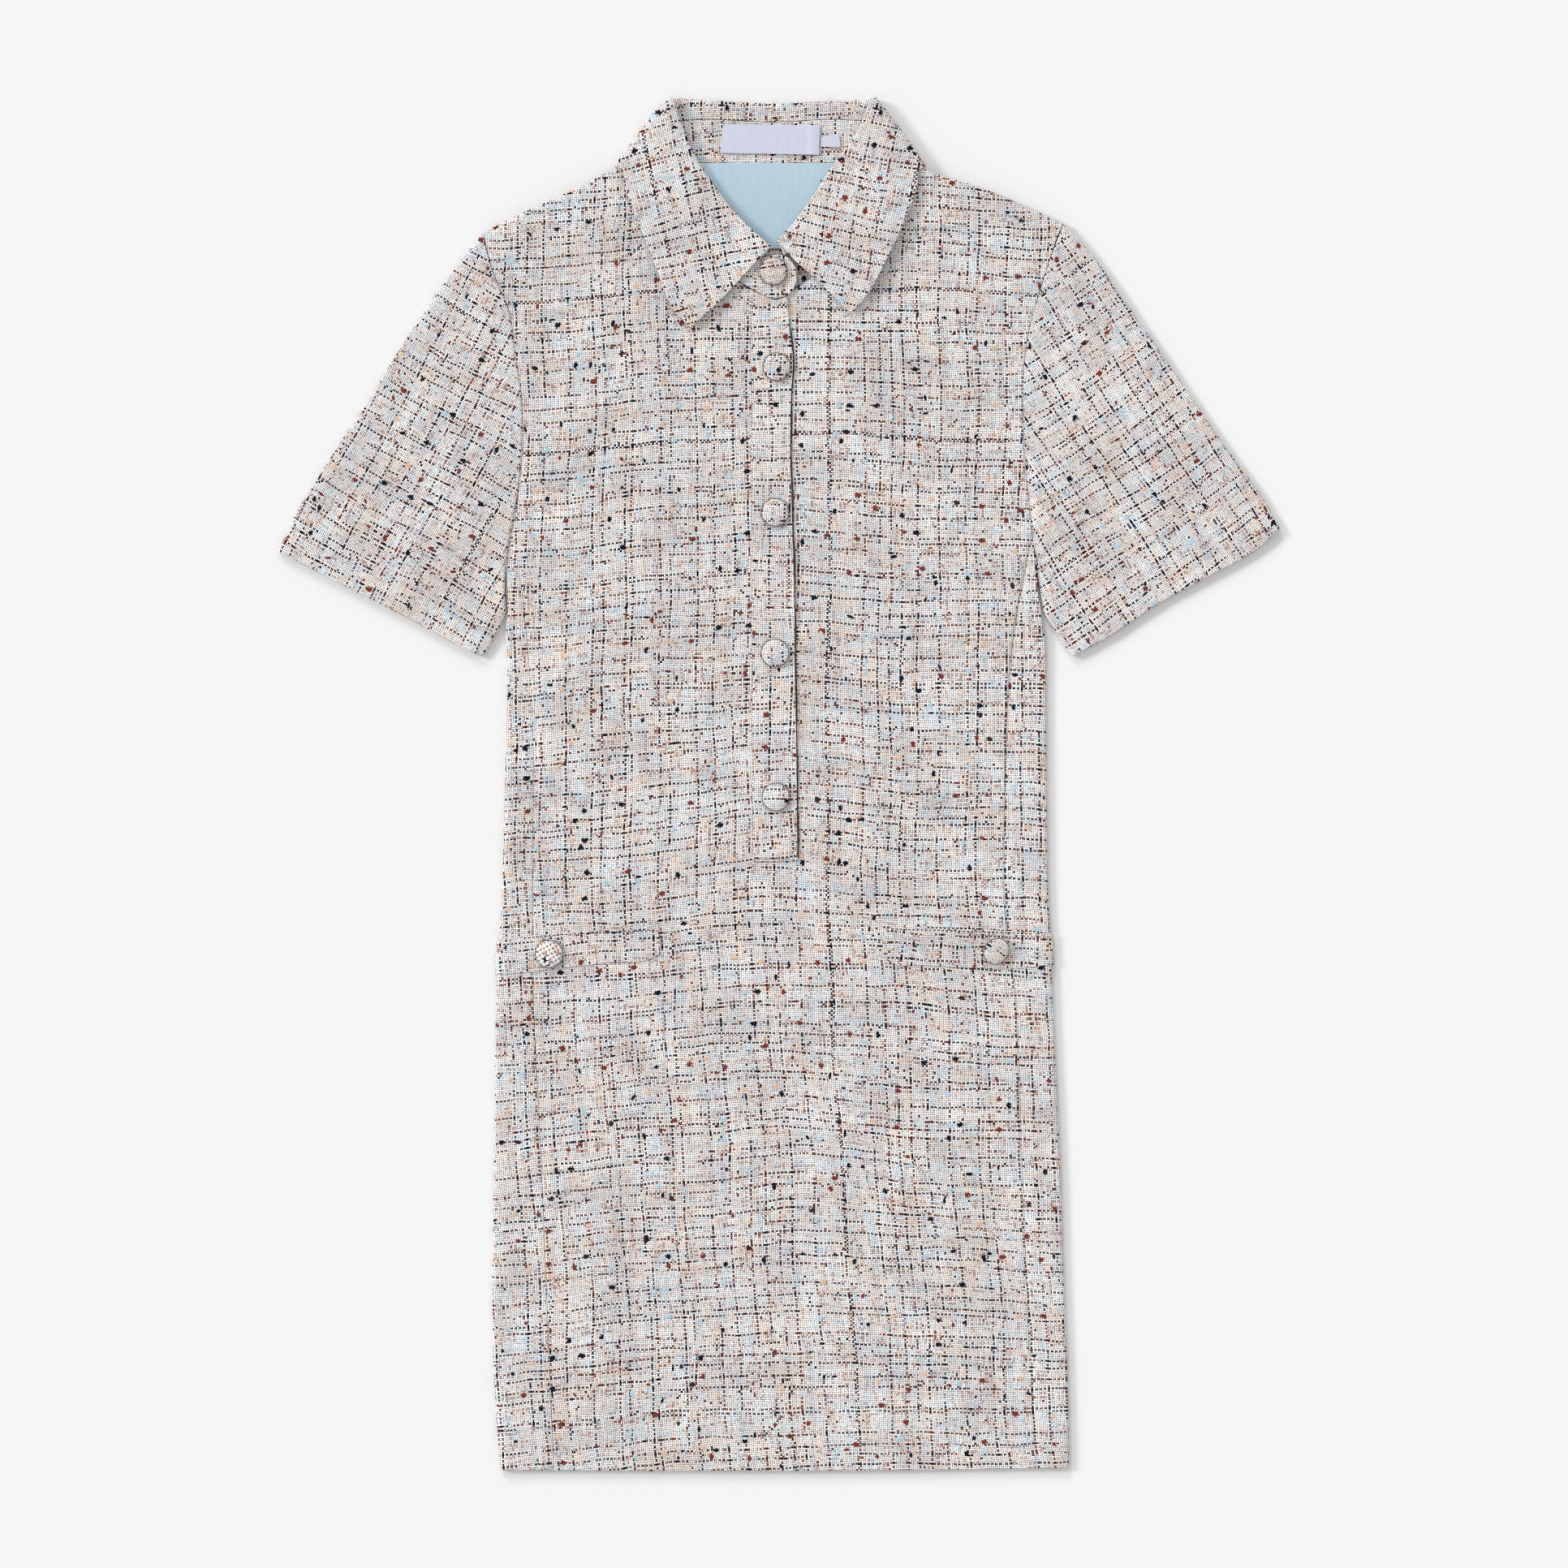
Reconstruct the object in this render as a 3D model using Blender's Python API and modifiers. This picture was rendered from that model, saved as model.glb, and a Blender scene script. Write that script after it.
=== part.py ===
"""Short-sleeved tweed shirt dress, laid flat and face up on a surface.

X runs to the viewer's right, Y towards the collar and Z up from the surface.
The tables and sizes below are in millimetres; the meshes are made in metres.
Each cloth piece is an open grid of points, thickened by a Solidify modifier.
"""

import math

import bpy
import numpy as np

MM = 0.001

# Walls and clearances
CLOTH = 2.2             # tweed with its lining
BAND = 2.0              # pocket bands and placket
SILK = 1.0              # neck lining and labels
SEAM_GAP = 0.4          # between two pieces sewn edge to edge
NECK_GAP = 0.55         # the same at the neck and collar seams
LAYER_GAP = 0.45        # between a piece and what lies on it
LAYER_SPACE = 3.3       # back wall to front wall, middle to middle
FOLD_INSET = CLOTH / 2 + LAYER_SPACE / 2        # outer edge to the middle of a fold's turn
LINED_SPACE = 4.3       # the same where the neck lining lies between them
LINED_FROM = 335.0
LINED_FULL = 370.0

# The collar's back fall lies under the neck and lifts what is above it
NECK_RISE = CLOTH + 0.6
RISE_FROM = 398.0
RISE_FULL = 450.0

# Collar
COLLAR_STEP = CLOTH + 0.55      # front wall to collar leaf, middle to middle
LEAF_LIFT = 5.0                 # how far the leaves arch off the front
LIFT_DOWN = 0.62 * math.pi      # the arch from the rolled edge to the outer edge
LIFT_ALONG = (-2.1, 1.6, 0.5)   # the arch from the front edge to the shoulder, a polynomial
TAB_RISE = CLOTH + LAYER_GAP    # the buttoned tab lies on the other end of the stand
TAB_RISE_FROM = -38.0
TAB_RISE_FULL = -18.0

# Rows and columns of the grids
SHOULDER_ROWS = 4
ARMHOLE_ROWS = 7
SIDE_ROWS = 13
SLEEVE_ROWS = 9
NECK_COLUMNS = 8
BACK_NECK_COLUMNS = 10
LEAF_ROWS = 5
TURN_STEPS = 4          # facets round a half-turn fold
EDGE_TURN = math.radians(30)
EDGE_FLAT = 1.15        # where a panel is flat again, as a share of the turn's radius
EDGE_GAP = 0.55         # half the gap between front and back at the shoulder's turn
CURVE_STEPS = 60        # points of a smooth curve for each point of its table
BLEND_ROWS = 3          # rows over which the side panel's top takes the armhole's bend
HIDDEN_COLUMNS = 2      # columns that the stand's right end lacks, under the tab

# Outline points, x and y, as the dress lies. "left" is the viewer's left.
SHOULDER = {
    "left": ((-98.9, 462.5), (-119.7, 453.6), (-132.6, 449.4), (-159.6, 435.6),
             (-191.4, 421.2), (-218.4, 406.8)),
    "right": ((87.6, 462.1), (104.8, 452.2), (124.8, 449.2), (161.4, 435.6), (196.2, 421.2),
              (210.5, 414.0)),
}
ARMHOLE_FRONT = {       # shoulder down to the side-panel seam
    "left": ((-218.4, 406.8), (-214.2, 382.2), (-202.8, 363.6), (-196.8, 327.6), (-192.0, 299.4),
             (-189.6, 268.2), (-190.8, 235.2), (-196.6, 195.6)),
    "right": ((210.5, 414.0), (204.0, 399.0), (193.2, 366.0), (183.6, 332.4), (180.3, 299.4),
              (180.0, 263.4), (182.4, 228.0), (186.8, 186.6)),
}
ARMHOLE_BACK = {
    "left": ((-218.4, 406.8), (-214.2, 382.2), (-205.0, 362.0), (-200.0, 328.0), (-196.8, 296.0),
             (-195.5, 262.0), (-196.0, 230.0), (-198.5, 198.0)),
    "right": ((210.5, 414.0), (204.0, 399.0), (195.0, 366.0), (188.4, 334.0), (186.0, 300.0),
              (185.5, 262.0), (186.5, 228.0), (189.0, 192.0)),
}
UNDERARM_FRONT = {      # on down to the underarm point
    "left": ((-196.6, 195.6), (-200.0, 176.0), (-202.6, 156.0), (-202.4, 126.0)),
    "right": ((186.8, 186.6), (190.2, 160.0), (195.0, 128.0)),
}
UNDERARM_BACK = {
    "left": ((-198.5, 198.0), (-201.0, 176.0), (-203.0, 156.0), (-202.4, 126.0)),
    "right": ((189.0, 192.0), (191.6, 162.0), (195.0, 128.0)),
}
SEAM_FRONT = {          # front to side panel
    "left": ((-196.6, 195.6), (-192.0, 159.6), (-186.0, 105.6), (-181.8, 39.6), (-181.8, -56.4),
             (-181.2, -164.4), (-177.0, -248.4), (-172.8, -348.6), (-166.2, -506.8)),
    "right": ((186.8, 186.6), (181.8, 161.4), (175.2, 127.8), (171.0, 95.4), (168.0, 51.6),
              (166.8, 3.6), (167.4, -100.2), (172.8, -140.4), (178.8, -268.2), (184.2, -398.4),
              (190.2, -505.4)),
}
SEAM_BACK = {           # back to side panel
    "left": ((-198.5, 198.0), (-178.0, 130.0), (-158.0, 50.0), (-150.0, -60.0), (-152.0, -250.0),
             (-154.0, -506.8)),
    "right": ((189.0, 192.0), (170.0, 120.0), (152.0, 45.0), (148.0, -60.0), (152.0, -250.0),
              (158.0, -505.4)),
}
SIDE_EDGE = {           # the fold at each side, underarm to hem
    "left": ((-202.4, 126.0), (-201.4, 108.0), (-201.0, 75.6), (-201.6, 36.6), (-203.2, -17.4),
             (-204.6, -71.4), (-206.4, -112.0), (-208.8, -140.4), (-210.0, -218.4),
             (-211.2, -290.4), (-212.1, -380.4), (-209.6, -460.0), (-206.0, -506.8)),
    "right": ((195.0, 128.0), (196.8, 100.0), (197.4, 39.6), (198.0, -20.4), (198.9, -80.4),
              (200.6, -112.0), (202.2, -158.4), (204.0, -200.4), (207.0, -260.4), (210.0, -356.4),
              (213.6, -452.4), (214.4, -505.4)),
}
SLEEVE_TOP = {
    "left": ((-218.4, 406.8), (-234.4, 386.8), (-260.4, 351.6), (-295.2, 297.6), (-329.6, 244.0),
             (-350.4, 211.2), (-363.8, 187.6), (-370.4, 172.0)),
    "right": ((210.5, 414.0), (233.6, 387.0), (259.2, 351.2), (288.0, 310.6), (317.2, 267.4),
              (343.0, 231.2), (361.0, 206.2), (370.4, 189.4)),
}
SLEEVE_UNDER = {
    "left": ((-202.4, 126.0), (-208.4, 111.4), (-214.2, 100.4), (-219.2, 93.8)),
    "right": ((195.0, 128.0), (204.6, 111.0), (216.0, 94.2)),
}
CUFF = {
    "left": ((-370.4, 172.0), (-351.8, 162.2), (-336.0, 154.0), (-310.3, 141.0), (-276.6, 123.8),
             (-250.3, 109.6), (-228.0, 97.6), (-219.2, 93.8)),
    "right": ((370.4, 189.4), (360.0, 179.0), (315.6, 152.4), (280.2, 133.2), (244.2, 109.2),
              (216.0, 94.2)),
}
HEM = ((-166.2, -506.8), (-60.0, -507.2), (60.0, -507.0), (190.2, -505.4))
HEM_BACK = ((-154.0, -506.8), (-60.0, -507.2), (60.0, -507.0), (158.0, -505.4))

# Neck: the seam where stand meets body, from the shoulder fold to the centre front
NECK_FRONT = {
    "left": ((-96.0, 461.5), (-93.0, 438.0), (-72.0, 407.5), (-48.0, 386.5), (-26.0, 368.5),
             (-4.0, 358.0)),
    "right": ((84.6, 461.3), (82.0, 438.0), (61.0, 407.0), (38.0, 386.0), (17.0, 368.5),
              (-4.0, 358.0)),
}
NECK_BACK = ((-96.0, 461.5), (-80.0, 459.6), (-57.6, 458.6), (-6.0, 457.6), (45.0, 458.6),
             (70.0, 459.6), (84.6, 461.3))
# The seam between stand and collar, the same way round
COLLAR_SEAM = {
    "left": ((-83.6, 488.6), (-82.0, 476.0), (-72.0, 450.0), (-52.8, 423.0), (-34.4, 402.5),
             (-11.6, 388.8)),
    "right": ((73.4, 488.6), (71.5, 474.0), (58.0, 447.0), (39.5, 421.0), (22.5, 402.0),
              (3.5, 390.0)),
}
COLLAR_SEAM_BACK = ((-83.6, 488.6), (-60.0, 490.6), (-6.0, 488.8), (48.0, 490.6), (73.4, 488.6))
# The visible rolled edge of the collar
ROLL_LINE = {
    "left": ((-79.0, 501.6), (-73.8, 483.6), (-61.8, 457.2), (-43.8, 430.8), (-26.4, 411.0),
             (-7.8, 394.4)),
    "right": ((68.4, 501.6), (65.1, 490.2), (58.2, 476.4), (43.8, 457.2), (26.4, 430.8),
              (12.0, 411.5), (0.2, 399.0)),
}
ROLL_BACK = ((-79.4, 508.6), (-40.0, 505.0), (0.0, 503.0), (36.0, 505.2), (68.6, 508.8))
LEAF_OUTER = {          # tip to shoulder fold
    "left": ((-65.1, 336.8), (-73.8, 344.4), (-91.5, 382.8), (-114.6, 441.0), (-121.4, 455.0)),
    "right": ((52.6, 347.2), (61.8, 356.4), (79.2, 386.4), (94.8, 420.0), (106.6, 454.6)),
}
LEAF_FRONT = {          # rolled edge to tip
    "left": ((-7.8, 394.4), (-26.4, 374.4), (-43.8, 355.8), (-65.1, 336.8)),
    "right": ((3.4, 396.0), (13.8, 384.0), (26.4, 373.0), (37.2, 362.2), (52.6, 347.2)),
}
COLLAR_FOLD = {         # the collar's own fold over the shoulder, top to bottom
    "left": ((-82.6, 506.6), (-96.0, 493.0), (-109.5, 475.0), (-122.0, 456.0)),
    "right": ((71.8, 506.8), (82.8, 493.2), (96.4, 475.0), (108.8, 456.2)),
}
TAB_ROWS = ((2.0, 359.2, -3.2, 390.4), (6.4, 360.6, 3.6, 390.2), (10.4, 364.4, 8.8, 386.4),
            (13.0, 371.0, 12.6, 380.0))

# Placket: left seam and free edge, from the neck down
PLACKET_LEFT = ((-20.4, 364.6), (-20.4, 250.0), (-20.0, 100.0), (-19.6, -57.0))
PLACKET_FREE = ((6.0, 359.2), (4.9, 351.6), (9.0, 330.0), (10.2, 308.0), (8.6, 280.0),
                (8.2, 250.8), (10.8, 159.6), (12.0, 69.6), (13.2, -20.4), (13.5, -57.0))
PLACKET_TOP = ((-26.0, -4.0, 5.6), (367.6, 357.2, 359.6))     # x and y along the neck seam
PLACKET_ROWS = 18

# Pocket bands: distance along X, top edge, bottom edge, from the inner end to the side
POCKET_BAND = {
    "left": ((-89.4, -109.6, -126.4), (-93.5, -107.0, -128.6), (-126.6, -108.0, -132.2),
             (-162.0, -110.0, -136.2), (-190.0, -112.6, -139.6), (-204.6, -114.6, -140.4)),
    "right": ((78.0, -108.6, -127.6), (82.0, -105.8, -131.2), (111.6, -106.6, -134.1),
              (164.4, -108.3, -136.0), (190.0, -109.8, -135.0), (198.0, -110.2, -133.6)),
}
BAND_COLUMNS = 12
BAND_ROWS = 3
BAND_END_ROUND = 1.6    # how far the inner end bows out
BAND_WRAP = (30.0, 60.0, 90.0, 116.0)     # degrees round the side fold

# Buttons: node name, x, y, what it lies on, tilt in degrees
BUTTONS = (
    ("button_stand", -4.2, 378.2, "tab", 0.0),
    ("button_placket_1", -1.8, 307.8, "placket", 0.0),
    ("button_placket_2", -3.0, 200.4, "placket", 0.0),
    ("button_placket_3", -3.0, 96.6, "placket", 0.0),
    ("button_placket_4", -2.4, -9.6, "placket", 0.0),
    ("button_pocket_left", -169.8, -125.4, "placket", 0.0),
    ("button_pocket_right", 160.2, -123.2, "placket", 8.0),
)
BUTTON_RADIUS = 10.5
BUTTON_CROWN = 4.2      # height of the middle
BUTTON_PROFILE = ((0.55, 3.85), (0.9, 2.8), (1.0, 1.7), (0.93, 0.4), (0.8, 0.0))  # share, height
BUTTON_SIDES = 20

# Inside the neck
LINING = {              # left and right edges, from the neck seam down
    "left": ((-86.0, 456.6), (-68.0, 430.0), (-46.0, 404.0), (-30.0, 382.0)),
    "right": ((76.0, 456.6), (58.0, 430.0), (37.0, 404.0), (22.0, 382.0)),
}
LABEL = (-42.6, 30.0, 464.8, 487.2)         # left, right, bottom, top
SIZE_TAG = (31.0, 45.6, 470.4, 479.4)

# Soft folds of the front: middle x and y, direction in degrees, half length, half width, height
FOLDS = (
    (-110.0, 165.0, 62.0, 120.0, 22.0, 1.1),
    (96.0, 180.0, -60.0, 120.0, 24.0, 1.0),
    (-78.0, -290.0, 87.0, 190.0, 26.0, 1.5),
    (52.0, -250.0, 94.0, 210.0, 30.0, 1.3),
    (128.0, -380.0, 85.0, 120.0, 18.0, 1.1),
    (-138.0, -410.0, 96.0, 90.0, 16.0, 0.9),
    (-266.0, 262.0, 57.0, 95.0, 17.0, 1.2),
    (-236.0, 205.0, 64.0, 70.0, 13.0, 0.9),
    (266.0, 272.0, -54.0, 95.0, 18.0, 1.1),
    (226.0, 205.0, -62.0, 75.0, 13.0, 1.0),
)

TWEED_COLOR = (0.60, 0.55, 0.53, 1.0)
LINING_COLOR = (0.46, 0.60, 0.70, 1.0)
LABEL_COLOR = (0.72, 0.75, 0.90, 1.0)


# ---------------------------------------------------------------- lines in plan

def smooth_line(points, shares):
    """Points at the given shares of the length of a smooth curve through the table's points."""
    knots = np.array(points, dtype=float)
    chords = np.linalg.norm(np.diff(knots, axis=0), axis=1)
    where = np.concatenate([[0.0], np.cumsum(chords)])
    slopes = np.gradient(knots, where, axis=0)
    dense = np.linspace(0.0, where[-1], CURVE_STEPS * len(knots))
    index = np.clip(np.searchsorted(where, dense, side="right") - 1, 0, len(chords) - 1)
    span = chords[index][:, None]
    t = (dense - where[index])[:, None] / span
    line = (2 * t ** 3 - 3 * t ** 2 + 1) * knots[index]
    line += (t ** 3 - 2 * t ** 2 + t) * slopes[index] * span
    line += (3 * t ** 2 - 2 * t ** 3) * knots[index + 1]
    line += (t ** 3 - t ** 2) * slopes[index + 1] * span
    return at_shares(line, shares)


def at_shares(line, shares):
    steps = np.linalg.norm(np.diff(line, axis=0), axis=1)
    length = np.concatenate([[0.0], np.cumsum(steps)])
    wanted = np.asarray(shares) * length[-1]
    return np.stack([np.interp(wanted, length, line[:, k]) for k in range(line.shape[1])], axis=1)


def even(count):
    return np.linspace(0.0, 1.0, count + 1)


def line_length(points):
    return float(np.linalg.norm(np.diff(np.array(points), axis=0), axis=1).sum())


def line_shares(line):
    steps = np.linalg.norm(np.diff(line, axis=0), axis=1)
    length = np.concatenate([[0.0], np.cumsum(steps)])
    return length / length[-1]


def unit(vector):
    vector = np.asarray(vector, dtype=float)
    return vector / np.linalg.norm(vector)


def left_normals(line):
    """Unit normals on the left of each point of a line, looking along it."""
    along = np.gradient(line, axis=0)
    along /= np.linalg.norm(along, axis=1)[:, None]
    return np.stack([-along[:, 1], along[:, 0]], axis=1)


def filled_patch(top, bottom, left, right):
    """Plan points between four edge lines, one row for each point of left and right."""
    u = (0.5 * (line_shares(top) + line_shares(bottom)))[None, :, None]
    v = (0.5 * (line_shares(left) + line_shares(right)))[:, None, None]
    grid = (1 - v) * top[None] + v * bottom[None] + (1 - u) * left[:, None] + u * right[:, None]
    grid -= (1 - u) * (1 - v) * top[0] + u * (1 - v) * top[-1]
    grid -= (1 - u) * v * bottom[0] + u * v * bottom[-1]
    return grid


# ---------------------------------------------------------------- heights

def ease(value):
    t = np.clip(value, 0.0, 1.0)
    return t * t * (3 - 2 * t)


def layer_space(y):
    share = ease((y - LINED_FROM) / (LINED_FULL - LINED_FROM))
    return LAYER_SPACE + (LINED_SPACE - LAYER_SPACE) * share


def back_level(x, y):
    """Middle of the back wall's thickness."""
    return CLOTH / 2 + NECK_RISE * ease((y - RISE_FROM) / (RISE_FULL - RISE_FROM))


def fold_height(x, y):
    total = 0.0
    for middle_x, middle_y, turn, half_length, half_width, height in FOLDS:
        cosine = math.cos(math.radians(turn))
        sine = math.sin(math.radians(turn))
        along = ((x - middle_x) * cosine + (y - middle_y) * sine) / half_length
        across = ((y - middle_y) * cosine - (x - middle_x) * sine) / half_width
        reach = np.cos(np.clip(along, -1.0, 1.0) * math.pi / 2) ** 2
        total = total + height * reach * np.exp(-across ** 2)
    return total


def front_level(x, y):
    """Middle of the front wall's thickness."""
    return back_level(x, y) + layer_space(y) + fold_height(x, y)


def leveled(plan, level):
    """Adds a height to each plan point."""
    return np.concatenate([plan, level(plan[..., 0], plan[..., 1])[..., None]], axis=-1)


# ---------------------------------------------------------------- shared seams

SIGN = {"left": -1.0, "right": 1.0}
CORNER_EASE = 0.5       # how far the body keeps off the sleeve's top corner
# How far the side panel's top keeps off the sleeve: at the seam, halfway and at the underarm
UNDERARM_EASE = np.array(((0.0, -1.0), (0.5, 0.0), (2.5, -0.5)))


def armhole(side, layer):
    """Armhole seam points from the shoulder to the side-panel seam, and on to the underarm."""
    upper_points = ARMHOLE_FRONT[side] if layer == "front" else ARMHOLE_BACK[side]
    lower_points = UNDERARM_FRONT[side] if layer == "front" else UNDERARM_BACK[side]
    start = FOLD_INSET / line_length(upper_points)
    shares = np.concatenate([[0.0], start + (1 - start) * even(ARMHOLE_ROWS)])
    upper = smooth_line(upper_points, shares)
    end = 1.0 - FOLD_INSET / line_length(lower_points)
    lower = smooth_line(lower_points, (0.0, end / 2, end, 1.0))
    return upper, lower


def side_seam(side, layer):
    points = SEAM_FRONT[side] if layer == "front" else SEAM_BACK[side]
    return smooth_line(points, even(SIDE_ROWS))


def shoulder_fold(side):
    """The line round which front turns into back, half a wall inside the outline."""
    outline = smooth_line(SHOULDER[side], even(SHOULDER_ROWS))
    outline[-1] += unit(outline[-2] - outline[-1]) * 2 * SEAM_GAP
    return outline - SIGN[side] * left_normals(outline) * CLOTH / 2


def body_edge(side, layer):
    """One long edge of the front or back panel: shoulder, armhole and side seam."""
    upper = armhole(side, layer)[0]
    fold = shoulder_fold(side)
    edge = np.vstack([upper[1:], side_seam(side, layer)[1:]])
    corner_ease = CORNER_EASE * np.exp(-np.arange(len(edge)))
    edge[:, 0] -= SIGN[side] * (SEAM_GAP / 2 + corner_ease)
    return np.vstack([fold, edge])


def neck_rows(side):
    """Matching points of the neck seam and the collar seam, shoulder fold to centre front."""
    shares = even(NECK_COLUMNS)
    return smooth_line(NECK_FRONT[side], shares), smooth_line(COLLAR_SEAM[side], shares)


def neck_rows_back():
    shares = even(BACK_NECK_COLUMNS)
    return smooth_line(NECK_BACK, shares), smooth_line(COLLAR_SEAM_BACK, shares)


def side_edge(side):
    """The side fold's outline, level with the points of the front seam below the underarm."""
    line = smooth_line(SIDE_EDGE[side], even(CURVE_STEPS * SIDE_ROWS))
    levels = side_seam(side, "front")[:, 1]
    levels[0] = line[0, 1]
    levels[1] = (levels[0] + levels[2]) / 2
    across = np.interp(-levels, -line[:, 1], line[:, 0])
    return np.stack([across, levels], axis=1)


def seam_side(first, second, distance):
    """Moves the points of one line towards the matching points of another."""
    away = second - first
    return first + away / np.linalg.norm(away, axis=1)[:, None] * distance


# ---------------------------------------------------------------- pieces as grids

def with_turned_edges(grid):
    """Adds the columns that the shoulder's quarter turn needs, at both sides of a panel."""
    turn = LINED_SPACE / 2
    columns = [grid[:, 0]]
    for width in (turn * (1 - math.cos(EDGE_TURN)), turn * EDGE_FLAT):
        columns.append(seam_side(grid[:, 0], grid[:, 1], width))
    columns.extend(grid[:, k] for k in range(1, grid.shape[1] - 1))
    for width in (turn * EDGE_FLAT, turn * (1 - math.cos(EDGE_TURN))):
        columns.append(seam_side(grid[:, -1], grid[:, -2], width))
    columns.append(grid[:, -1])
    return np.stack(columns, axis=1)


def distance_to_line(plan, line):
    """Shortest distance in plan from each point to a polyline."""
    best = np.full(plan.shape[:-1], np.inf)
    for start, end in zip(line[:-1], line[1:]):
        edge = end - start
        share = np.clip(((plan - start) @ edge) / (edge @ edge), 0.0, 1.0)
        nearest = start + share[..., None] * edge
        best = np.minimum(best, np.linalg.norm(plan - nearest, axis=-1))
    return best


def turned_down(plan, layer):
    """Heights of a body panel, rounded towards the other panel along the shoulder folds."""
    x, y = plan[..., 0], plan[..., 1]
    front, back = front_level(x, y), back_level(x, y)
    middle, turn = (front + back) / 2, (front - back) / 2
    depth = np.minimum(*(distance_to_line(plan, shoulder_fold(side)) for side in SIGN))
    rounded = np.sqrt(1 - (1 - np.clip(depth / turn, 0.0, 1.0)) ** 2)
    offset = EDGE_GAP + (turn - EDGE_GAP) * rounded
    height = middle + offset if layer == "front" else middle - offset
    return np.concatenate([plan, height[..., None]], axis=-1)


def front_grid():
    left, right = body_edge("left", "front"), body_edge("right", "front")
    neck = []
    for side in ("left", "right"):
        seam, collar_seam = neck_rows(side)
        neck.append(seam_side(seam, collar_seam, -NECK_GAP / 2))
    top = np.vstack([left[:1], neck[0][1:], neck[1][-2:0:-1], right[:1]])
    bottom = smooth_line(HEM, line_shares(top))
    bottom[0], bottom[-1] = left[-1], right[-1]
    return turned_down(with_turned_edges(filled_patch(top, bottom, left, right)), "front")


def back_grid():
    left, right = body_edge("left", "back"), body_edge("right", "back")
    seam, collar_seam = neck_rows_back()
    neck = seam_side(seam, collar_seam, -NECK_GAP / 2)
    top = np.vstack([left[:1], neck[1:-1], right[:1]])
    bottom = smooth_line(HEM_BACK, line_shares(top))
    bottom[0], bottom[-1] = left[-1], right[-1]
    return turned_down(with_turned_edges(filled_patch(top, bottom, left, right)), "back")


def half_turn(front, back, outward):
    """Points of a fold between a front point and the back point under it."""
    middle, turn = (front + back) / 2, (front[2] - back[2]) / 2
    points = []
    for step in range(1, TURN_STEPS):
        angle = math.pi * step / TURN_STEPS
        offset = [*(outward * math.sin(angle)), math.cos(angle)]
        points.append(middle + turn * np.array(offset))
    return points


def side_panel_grid(side):
    """From the front seam round the side fold to the back seam, underarm to hem."""
    shift = np.array([SIGN[side] * SEAM_GAP / 2, 0.0])
    under_front, under_back = armhole(side, "front")[1], armhole(side, "back")[1]
    seam_front, seam_back = side_seam(side, "front") + shift, side_seam(side, "back") + shift
    edge = side_edge(side)
    edge[0, 0] -= SIGN[side] * UNDERARM_EASE[2, 0]
    rows = []
    for index in range(SIDE_ROWS + 1):
        layers = []
        for seam, under in ((seam_front, under_front), (seam_back, under_back)):
            outward = unit(edge[index] - seam[index])
            end = edge[index] - outward * FOLD_INSET
            line = np.array([seam[index], (seam[index] + end) / 2, end])
            on_armhole = under[:3] + UNDERARM_EASE * (-SIGN[side], 1.0)
            weight = ease(1.0 - index / BLEND_ROWS)
            if index == 0:
                line = on_armhole
            elif weight > 0:
                bend = on_armhole[1] - (on_armhole[0] + on_armhole[2]) / 2
                line[1] += weight * bend
            layers.append(line)
        turn_centre = layers[0][-1]
        layers[1][-1] = turn_centre
        front = leveled(layers[0], front_level)
        back = leveled(layers[1], back_level)
        outward = unit(edge[index] - turn_centre)
        rows.append([*front, *half_turn(front[-1], back[-1], outward), *back[::-1]])
    return np.array(rows)


def sleeve_grid(side):
    """Rings round the sleeve from armhole to cuff: front, under fold, back, top fold."""
    away = np.array([SIGN[side] * SEAM_GAP / 2, 0.0])
    top = smooth_line(SLEEVE_TOP[side], even(SLEEVE_ROWS)) + away
    under = smooth_line(SLEEVE_UNDER[side], even(SLEEVE_ROWS)) + away
    layers = []
    for layer in ("front", "back"):
        upper, lower = armhole(side, layer)
        seam = np.vstack([upper, lower[1:]]) + away
        cuff = smooth_line(CUFF[side], line_shares(seam))
        layers.append(filled_patch(top, under, seam, cuff).transpose(1, 0, 2))
    rings = []
    for front, back in zip(*layers):
        over, below = unit(front[0] - front[1]), unit(front[-1] - front[-2])
        turn_over, turn_below = front[0] - over * FOLD_INSET, front[-1] - below * FOLD_INSET
        front[1], back[1] = turn_over, turn_over
        front[-2], back[-2] = turn_below, turn_below
        front_points = leveled(front[1:-1], front_level)
        back_points = leveled(back[1:-1], back_level)
        ring = [*front_points, *half_turn(front_points[-1], back_points[-1], below)]
        ring += [*back_points[::-1], *half_turn(front_points[0], back_points[0], over)[::-1]]
        rings.append(ring)
    return np.array(rings)


# ---------------------------------------------------------------- collar

def tab_rise(x):
    """The left half of the stand climbs on to the right half's end."""
    return TAB_RISE * ease((x - TAB_RISE_FROM) / (TAB_RISE_FULL - TAB_RISE_FROM))


def stand_level(side):
    def level(x, y):
        return front_level(x, y) + (tab_rise(x) if side == "left" else 0.0)
    return level


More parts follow.
